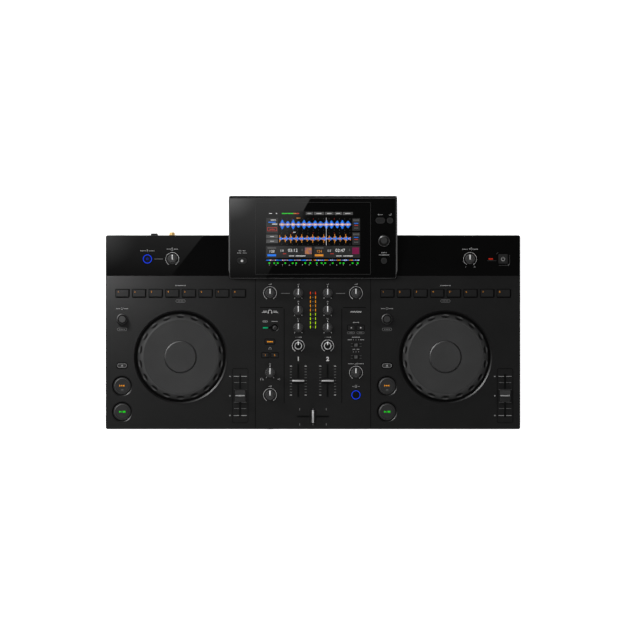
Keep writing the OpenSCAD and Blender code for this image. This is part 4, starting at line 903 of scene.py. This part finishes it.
ridgeLook = {
    "channelRidge": {"size": (18.3, 2.3, 0.35), "seat": 9.95, "along": -0.3, "finish": "capSilver"},
    "crossRidge": {"size": (2.75, 19.0, 0.35), "seat": 9.95, "along": 0.0, "finish": "capSilver"},
    "tempoLine": {"size": (14.0, 1.9, 0.3), "seat": 6.95, "along": 0.0, "finish": "labelInk"},
}
ridgeEdge = 0.14
ridgeSpots = {
    "channelRidge": [(str(number), "channel_fader_%d" % number, x, mixer["faderV"])
                     for number, x in channels],
    "crossRidge": [("", "crossfader", 0, mixer["crossV"])],
    "tempoLine": [(side.capitalize(), "tempo_fader_" + side, tempoX, deck["tempoV"])
                  for side, jogX, columnX, tempoX in decks],
}
for kind, look in ridgeLook.items():
    ridge = bevelBlock(kind + "Master", look["size"], ridgeEdge, finishes[look["finish"]], look["seat"],
                       look["along"])
    for tail, body, x, v in ridgeSpots[kind]:
        placeCopy(ridge, kind + tail, onPanel(x, v), body)
    dropMaster(ridge)
print("pointers and ridges set")


# marks on the buttons

markLook = {"thick": 0.06, "sink": -0.02, "switchSink": -1.01, "figure": 0.08}


def cap(x, v, body):
    return Vector((x * mm, (panel["front"] + v) * mm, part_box(body)[1].z + markLook["sink"] * mm))


def buttonMark(name, body, finish, *marks, slot="button"):  # each mark: how it is drawn, x, v, sizes
    piece = startMarks(name)
    for draw, x, v, *sizes in marks:
        draw(cap(x, v, body), *sizes)
    endMarks(piece, markLook["thick"], finishes[finish])
    carry(piece, body)
    return piece


for side, jogX, columnX, tempoX in decks:
    word, playV = side.capitalize(), deck["playV"]
    cue, pads = "cue_button_" + side, "hot_cue_pads_" + side
    buttonMark("shiftMark" + word, "shift_button_" + side, "labelInk",
               (pillMark, columnX, deck["shiftV"], 13.9, 5.9, 0.4),
               (arrowMark, columnX, 96.0, 1.4, 90, (1.5, 1)), (barMark, columnX, 94.3, 3.8, 0.5))
    buttonMark("cueMark" + word, cue, "orangeLight", (barMark, columnX - 3.4, 65.5, 1.1, 2.6),
               *((arrowMark, columnX + along, 65.5, 1.75, 180, (1.1, 0.9)) for along in (-0.6, 2.5)))
    buttonMark("cueDash" + word, cue, "greyInk", (barMark, columnX + 0.3, 59.1, 3.4, 1.0))
    buttonMark("playMark" + word, "play_button_" + side, "greenLight",
               (arrowMark, columnX - 3.1, playV, 1.8, 0, (1.3, 0.85)),
               (barMark, columnX - 0.2, playV, 0.5, 2.6, -18),
               *((barMark, columnX + along, playV, 1.4, 2.6) for along in (2.0, 4.2)))
    padMarks = buttonMark("padMarks" + word, pads, "padMark", (barMark, jogX - 95.1, 208.0, 0.4, 0.4),
                          slot="pad_rubber")
    corners = [cap(jogX + (pad - 3.5) * deck["padPitch"] - 6.0, 206.6, pads) for pad in range(8)]
    joinTo(padMarks, [numeral(str(number), corner, 3.4, markLook["figure"])
                      for number, corner in enumerate(corners, 1)])

for kind, v in mixer["switchV"].items():
    buttonMark(kind.split("_")[1] + "SwitchRidges", kind, "greyInk",
               *((barMark, outerX + along, v, 1.2, 4.4) for along in (-1.3, 1.3)))
switchEnds = startMarks("switchEnds")
for v in mixer["switchV"].values():
    for along in (-6.2, 6.9):
        for side in (-1, 1):  # clear of the blade's slot
            barMark(onPanel(outerX + along, v + side * 1.95, markLook["switchSink"]), 3.0, 1.3)
endMarks(switchEnds, markLook["thick"], finishes["dimInk"])
carry(switchEnds, "console")

buttonMark("masterKeyMark", "phones_master_key", "orangeLight",
           *((barMark, -outerX + along, mixer["masterKeyV"], 2.3, 1.7) for along in (-3.1, 0, 3.1)))
buttonMark("beatArrows", "beat_keys", "whiteInk",
           *((arrowMark, outerX + side * mixer["keyDx"], mixer["keyV"], 1.25, turn)
             for side, turn in ((-1, 180), (1, 0))))
buttonMark("powerSign", "power_button", "labelInk", (arcMark, band["powerX"], 256.0, 2.2, 3.0, 70, 90, 40),
           (barMark, band["powerX"], 258.2, 0.8, 2.6))
buttonMark("micMark", "mic_button", "markBlue", (arcMark, band["micKeyX"], band["v"], 1.0, 1.6, 0, 0, 30))
cueKeyMarks = buttonMark("cueKeyMarks", "phones_cue_keys", "orangeLight",
                         (barMark, -outerX - 10.4, 113.2, 0.3, 0.3))
for number, side in ((1, -1), (2, 1)):
    spot = cap(-outerX + side * mixer["keyDx"], mixer["cueKeyV"], "phones_cue_keys")
    joinTo(cueKeyMarks, [numeral(str(number), spot, 4.0, markLook["figure"])])
print("button marks set")


# picture on the touch screen, drawn flat and then tilted

pictureLook = {"w": 142.6, "l": 85.4, "rise": 0.015, "step": 0.02, "steps": 104, "span": (-50.6, 57.0),
               "tabs": 38.8, "rows": (21.6, -0.4), "wave": 14.4, "thick": 0.02}
picU = screen["middle"]
pictureBars = {}


def pix(x, u, layer):
    return onSlab(x, picU + u, pictureLook["rise"] + layer * pictureLook["step"])


def put(tint, layer, x, u, w, l):
    pictureBars.setdefault(tint, []).append((layer, x, u, w, l))


def waveHeight(step, seed):
    body = math.sin(math.pi * (step % 8 + 0.5) / 8) ** 2 * (0.78 + 0.22 * math.sin(step * 0.37 + seed))
    hiss = 0.2 * abs(math.sin(step * 2.7 + seed * 1.9))
    return min(1.0, 0.1 + 0.8 * body + hiss * (0.4 + 0.6 * abs(math.sin(step * 0.11 + seed))))


tabU, (upperU, lowerU) = pictureLook["tabs"], pictureLook["rows"]
put("Black", 0, 0, 0, pictureLook["w"], pictureLook["l"])
for x, w in ((52.5, 15), (38, 11), (24.5, 13), (9, 15), (-5.5, 11)):  # tabs
    put("Grey", 1, x, tabU, w, 4.4)
    put("White", 2, x, tabU, w * 0.5, 0.7)
for step in range(12):
    tint = "Green" if step < 8 else "Orange" if step < 10 else "Red"
    put(tint, 2, -46 + step * 2.2, tabU, 1.8, 1.4)
put("White", 2, -55.0, tabU, 1.6, 1.6)
put("White", 2, -64.0, tabU, 4.4, 0.8)
# two waves, each of three colours
stride = (pictureLook["span"][1] - pictureLook["span"][0]) / pictureLook["steps"]
for step in range(pictureLook["steps"]):
    x, beat = pictureLook["span"][0] + (step + 0.5) * stride, step % 8
    upper = waveHeight(step, 0.4) * pictureLook["wave"]
    lower = waveHeight(step + 3, 2.1) * pictureLook["wave"]
    put("Blue", 2, x, upperU, stride * 0.94, upper)
    put("Orange", 3, x, upperU, stride * 0.94, upper * (0.85 if beat == 0 else 0.34))
    put("White", 4, x, upperU, stride * 0.94, max(0.5, upper * (0.24 if beat == 3 else 0.1)))
    tint = "White" if beat == 4 else "Orange"
    put(tint, 2, x, lowerU, stride * 0.7, lower * (1 if beat % 5 == 0 else 0.6))
    put("Blue", 3, x, lowerU, stride * 0.94, max(0.5, lower * (0.6 if beat in (2, 3, 6) else 0.16)))
for tick in range(14):
    for u in (30.4, 12.8, 8.4, -9.2):
        tint = "Red" if tick % 4 == 2 and u in (30.4, 8.4) else "Grey"
        put(tint, 2, -47.0 + tick * 7.9, u, 0.4, 1.2)
put("White", 6, 20.0, 10.6, 0.5, 43.0)
put("Orange", 4, -22.0, 31.6, 6.0, 0.9)
put("White", 4, -28.0, 9.6, 4.0, 0.8)
# columns beside the waves
narrowX, wideX = 65.0, -61.6
for u in pictureLook["rows"]:
    put("Dark", 1, narrowX, u, 11.6, 19.4)
    for tint, away, w, l in (("Grey", 6.6, 9.4, 3.0), ("Blue", 1.8, 6.4, 0.9), ("Red", -1.4, 5.4, 0.9),
                             ("Grey", -5.6, 6.4, 1.6)):
        put(tint, 2, narrowX, u + away, w, l)
put("Dark", 1, wideX, 19.6, 17.6, 24.0)
put("White", 2, wideX + 2, 28.6, 8.0, 0.8)
put("Blue", 2, wideX, 25.2, 11.0, 1.2)
put("White", 2, wideX + 4, 22.2, 7.6, 1.2)
for side in (-1, 1):
    put("Red", 2, wideX, 14.2 + side * 2.5, 14.0, 0.55)
    put("Red", 2, wideX + side * 7.0, 14.2, 0.55, 5.0)
put("Red", 2, wideX, 14.2, 8.0, 0.9)
for u in (2.8, -4.4):
    put("Grey", 1, wideX, u, 17.6, 5.8)
    put("White", 2, wideX, u, 6.0, 0.6)
# strips below the waves
stripTints = ("Blue", "Blue", "White", "Orange")
for side, tile, tag in ((-1, "Mixed", "Blue"), (1, "Crimson", "Orange")):
    middle = side * 35.7
    put("Dark", 1, middle, -21.0, 70.2, 18.4)
    for tint, x, u, w, l in (("White", 17.0, -27.4, 15.0, 1.0), ("White", 3.4, -27.4, 8.0, 1.0),
                             (tile, 28.6, -19.4, 10.2, 10.2), ("Grey", 19.4, -18.0, 1.6, 3.6),
                             ("Red", -7.0, -24.0, 5.0, 0.8), (tag, -26.4, -26.4, 13.0, 3.2),
                             ("Grey", -26.4, -15.0, 13.0, 2.4)):
        put(tint, 2, middle + x, u, w, l)
    for x in (-30.0, -22.6, -17.4, -6.0, 5.2, 10.4, 24.0, 31.6):
        put("Green", 2, middle + x, -38.6, 2.3, 2.0)
    for tick in range(52):
        tint = stripTints[(tick * tick // 7 + (side > 0) * 3) % 4]
        put(tint, 2, middle - 34.0 + tick * 1.32, -34.0, 1.25, 0.5 + 1.3 * waveHeight(tick, side))
    for tick in range(7):
        put("White", 2, middle - 30.0 + tick * 10.0, -41.4, 0.45, 1.3)


def slabMark(name, body, draw, finish, thick):  # drawn flat, then tilted with the screen
    piece = startMarks(name)
    draw()
    endMarks(piece, thick, finishes[finish])
    tiltToScreen(piece)
    carry(piece, body)


def drawBars(bars):
    for layer, x, u, w, l in bars:
        barMark(pix(x, u, layer), w, l)


for tint, bars in pictureBars.items():
    slabMark("picture" + tint, "console", lambda: drawBars(bars), "pixel" + tint,
             pictureLook["thick"])

figureTables = {
    "pictureTimes": ("pixelWhite", (("03:12", -30.4, -19.0, 6.6), ("02:47", 41.0, -19.0, 6.6),
                                    ("1.0", -46.8, -19.4, 4.4), ("0.5", 24.6, -19.4, 4.4),
                                    ("128", -62.0, -20.4, 5.6))),
    "pictureTempo": ("pixelOrange", (("124", 9.4, -20.4, 5.6),)),
}
for name, (finish, figures) in figureTables.items():
    first, *others = [numeral(text, pix(x, u, 3.5), size, pictureLook["thick"])
                      for text, x, u, size in figures]
    first.name = name
    first.data.name = name
    first.data.materials.append(finishes[finish])
    if others:
        joinTo(first, others)
    tiltToScreen(first)
    carry(first, "console")
print("picture drawn")


# marks on the screen's frame

frameMarkLook = {"glass": (173.4, 112.2, 0.35), "edge": (250.6, 124.8, 2.4, 0.4), "sink": -0.02,
                 "keyRise": 0.68, "thick": 0.05}
keysX, rearU, frontU = screen["keysX"], 91.9, 29.2


def onFrame(x, u):
    return onSlab(x, u, frameMarkLook["sink"])


def onKey(x, u):
    return onSlab(x, u, frameMarkLook["keyRise"])


def drawGlassLine():
    w, l, line = frameMarkLook["glass"]
    for side in (-1, 1):
        barMark(onFrame(side * w / 2, picU), line, l)
        barMark(onFrame(0, picU + side * l / 2), w - 2 * line, line)


def drawFrameSigns():
    for x, u, w in ((-keysX, 41.2, 15.0), (-keysX, 44.8, 10.5), (keysX, 38.2, 16.0), (keysX, 41.8, 8.4)):
        dashRow(x, u, w, 0.0, 1.2, onFrame)
    arrowMark(onFrame(keysX - 8.0, 101.0), 1.5, 180)
    barMark(onFrame(keysX - 4.6, 101.0), 5.0, 0.7)
    barMark(onFrame(keysX + 8.4, 100.4), 2.2, 0.75, -45)
    barMark(onFrame(keysX + 10.2, 101.0), 4.0, 0.75, 52)


# painted highlight along the edge of the screen's frame
def drawFrameEdge():
    outline(onFrame, 0, picU, *frameMarkLook["edge"])


slabMarks = {
    "glassLine": ("console", drawGlassLine, "dimInk"),
    "frameEdge": ("console", drawFrameEdge, "trimInk"),
    "frameSigns": ("console", drawFrameSigns, "labelInk"),
    "sourceMark": ("source_button", lambda: discMark(onKey(-keysX, frontU), 2.0, 24), "whiteLight"),
    "sourceRing": ("source_button", lambda: pillMark(onKey(-keysX, frontU), 13.6, 7.8, 0.4), "dimInk"),
    "backRing": ("back_button", lambda: pillMark(onKey(keysX - 5.5, rearU), 12.8, 7.8, 0.4), "dimInk"),
    "tagRing": ("tag_button", lambda: arcMark(onKey(keysX + 9.1, rearU), 3.5, 3.9, 0, 0, 40), "dimInk"),
    "menuRing": ("menu_button", lambda: arcMark(onKey(keysX, frontU), 3.5, 3.9, 0, 0, 40), "dimInk"),
}
for name, (body, draw, finish) in slabMarks.items():
    slabMark(name, body, draw, finish, frameMarkLook["thick"])
print("screen frame marked")


# insides and sleeves of the jacks

jackLook = {"bayV": 287.0, "lowZ": 16.0, "highZ": 28.5, "jackZ": 21.5, "soften": 0.15,
            "pairX": {"aux": -212.2, "master": -96.0}, "micX": -238.8, "inletX": 26.0}
sleeveLooks = {  # inner and outer radius, start and end along the axis, finish
    "barrel": (4.05, 4.25, 1.2, 9.28, "goldMetal"), "face": (3.2, 4.2, 9.22, 9.34, "goldMetal"),
    "white": (1.68, 3.25, 9.2, 9.42, "jackWhite"), "red": (1.68, 3.25, 9.2, 9.42, "jackRed"),
    "micCollar": (5.05, 5.25, 0.05, 7.74, "footRubber"), "micFace": (3.28, 5.2, 7.66, 7.78, "footRubber"),
    "inletFace": (2.84, 5.0, 0.55, 0.7, "keyPlastic"),
}


def turnToRear(piece):  # made upright at the origin, then laid along +Y
    pick(piece)
    piece.rotation_euler = (math.radians(-90), 0, 0)
    bpy.ops.object.transform_apply(location=False, rotation=True, scale=False)


def sleeve(name, inner, outer, start, end, finish):
    piece = startMarks(name)
    arcMark(Vector((0, 0, start * mm)), inner, outer, 0, 0, 48)
    soften = min(jackLook["soften"], 0.3 * min(outer - inner, end - start))
    endMarks(piece, end - start, finishes[finish], soften, 35)
    turnToRear(piece)
    return piece


def lineJack(kind, name, x, z):
    spot = Vector((x, panel["front"] + jackLook["bayV"], z)) * mm
    placeCopy(sleeves[kind], name, spot, "console")


sleeves = {kind: sleeve(kind + "Master", *look) for kind, look in sleeveLooks.items()}
for pair, x in jackLook["pairX"].items():
    for level, z, insert in (("Upper", jackLook["highZ"], "white"), ("Lower", jackLook["lowZ"], "red")):
        for kind, part in (("barrel", "Barrel"), ("face", "Face"), (insert, "Insert")):
            lineJack(kind, pair + part + level, x, z)
for kind, place in (("micCollar", "micX"), ("micFace", "micX"), ("inletFace", "inletX")):
    lineJack(kind, kind, jackLook[place], jackLook["jackZ"])
for master in sleeves.values():
    dropMaster(master)
print("jacks lined")


# stage, lights and camera

stageLook = shades(0.9, 0.93, floor=8.0, cloud=3, glow=0.9, rough=0.8, sky=0.03)


def stageFinish(name, look):
    finish, tree, shader = newFinish(name)
    shade = rampBetween(tree, noise(tree, look["cloud"]), 0.3, 0.7, (look["dark"], look["light"]))
    feed(tree, shader, {"Base Color": shade, "Emission Color": shade, "Emission Strength": look["glow"],
                        "Roughness": look["rough"]})
    return finish


def softboxFinish(name, look):  # brighter to the rear, with a bright spot
    finish, tree, shader = newFinish(name)
    split = addNode(tree, "SeparateXYZ", {"Vector": objectPlace(tree)})
    fade = mapRange(tree, split.outputs["Y"], *look["fade"])
    x, y, r, bright = look["spot"]
    shift = addNode(tree, "Mapping", {"Vector": objectPlace(tree), "Location": (-x / r, -y / r, 0),
                                      "Scale": (1 / r, 1 / r, 0)})
    spot = addNode(tree, "TexGradient", {"Vector": shift.outputs["Vector"]}, gradient_type="SPHERICAL")
    peak = mathNode(tree, "POWER", spot.outputs["Fac"], look["power"])
    glow = addNode(tree, "Emission", {"Strength": mathNode(tree, "MULTIPLY_ADD", peak, bright, fade)})
    tree.nodes.remove(shader)
    feed(tree, tree.nodes["Material Output"], {"Surface": glow.outputs["Emission"]})
    return finish


clearSelection()
bpy.ops.mesh.primitive_plane_add(size=stageLook["floor"])
floor = bpy.context.object
floor.name = "floor"
floor.data.materials.append(stageFinish("paleFloor", stageLook))

softboxes = {
    "bandSoftbox": {"edge": (-0.189, 0.086, 1.6), "turn": 51.6, "long": 1.6, "wide": 1.2, "power": 1.4,
                    "fade": (0.045, 0.13, 0.043, 0.38), "spot": (-0.316, 0.117, 0.055, 0.9)},
    "screenSoftbox": {"edge": (-0.0385, -0.77, 1.6), "turn": 64.1, "long": 0.42, "wide": 0.42, "power": 1.4,
                      "fade": (-0.845, -0.69, 0.05, 0.95), "spot": (-0.13, -0.692, 0.05, 2.6)},
}
for name, look in softboxes.items():
    turn = math.radians(look["turn"])
    away = Vector((-math.sin(turn), math.cos(turn), 0)) * look["wide"] / 2
    clearSelection()
    bpy.ops.mesh.primitive_plane_add(size=1, location=Vector(look["edge"]) + away)
    box = bpy.context.object
    box.name = name
    box.scale = (look["long"], look["wide"], 1)
    box.rotation_euler = (0, 0, turn)
    bpy.ops.object.transform_apply(location=True, rotation=True, scale=True)
    box.data.materials.append(softboxFinish(name, look))
    box.visible_shadow = False
    box.visible_camera = False

lamps = {
    "keyLamp": {"at": (-0.5, 0.42, 1.4), "aim": (-0.05, 0.0, 0.04), "size": 0.5, "watts": 9.5,
                "glints": False},
    "leftLamp": {"at": (-1.5, 0.45, 0.75), "aim": (-0.1, 0.0, 0.04), "size": 0.9, "watts": 15,
                 "glints": False, "shadow": False},
    "glintLamp": {"at": (-1.38, 1.16, 2.1), "aim": (-0.05, 0.0, 0.04), "size": 0.6, "watts": 28,
                  "glow": False, "shadow": False},
    "sheenLamp": {"at": (-0.36, 0.12, 0.22), "aim": (-0.3, 0.03, 0.05), "size": 0.06, "watts": 1.15,
                  "glow": False, "only": [nodes["top_panel"], nodes["hot_cue_pads_left"]]},
    "rimLamp": {"at": (0.62, -0.62, 1.0), "aim": (0.0, 0.0, 0.04), "size": 0.5, "watts": 4.2,
                "glints": False, "only": spared},
    "frontLamp": {"at": (0.15, -1.25, 0.8), "aim": (0.0, 0.0, 0.04), "size": 0.9, "watts": 5,
                  "spare": True},
    "rightLamp": {"at": (1.3, 0.35, 0.8), "aim": (0.1, 0.0, 0.04), "size": 0.8, "watts": 4, "spare": True},
    "backLamp": {"at": (0.2, 1.6, 0.42), "aim": (0.0, 0.0, 0.04), "size": 0.9, "watts": 2.5, "spare": True},
}
for name, look in lamps.items():
    clearSelection()
    bpy.ops.object.light_add(type="AREA", location=look["at"])
    lamp = bpy.context.object
    lamp.name = name
    lamp.data.size = look["size"]
    lamp.data.energy = look["watts"]
    lamp.data.use_shadow = look.get("shadow", True)
    lamp.rotation_euler = (Vector(look["aim"]) - Vector(look["at"])).to_track_quat("-Z", "Y").to_euler()
    lamp.visible_camera = False
    lamp.visible_glossy = look.get("glints", True)
    lamp.visible_diffuse = look.get("glow", True)
    if look.get("only"):  # lights these pieces alone
        lit = bpy.data.collections.new(name + "Lit")
        for piece in look["only"]:
            lit.objects.link(piece)
        lamp.light_linking.receiver_collection = lit
    if look.get("spare"):  # leaves the rims and the bright edges to the lamps at the upper left
        unlit = bpy.data.collections.new(name + "Unlit")
        for piece in spared:
            unlit.objects.link(piece)
        for entry in unlit.collection_objects:
            entry.light_linking.link_state = "EXCLUDE"
        lamp.light_linking.receiver_collection = unlit

world = bpy.data.worlds.new("studio")
bpy.context.scene.world = world
world.use_nodes = True
feed(world.node_tree, world.node_tree.nodes["Background"],
     {"Color": (*grey(1.0), 1), "Strength": stageLook["sky"]})

cameraLook = {"x": -0.71, "v": 175.58, "height": 2.6, "frame": 625 * 1.5054}
clearSelection()
bpy.ops.object.camera_add(location=(cameraLook["x"] * mm, (panel["front"] + cameraLook["v"]) * mm,
                                    cameraLook["height"]), rotation=(0, 0, 0))
camera = bpy.context.object
camera.data.type = "ORTHO"
camera.data.ortho_scale = cameraLook["frame"] * mm
bpy.context.scene.camera = camera
bpy.context.scene.view_settings.view_transform = "Standard"
print("stage, lights and camera set")
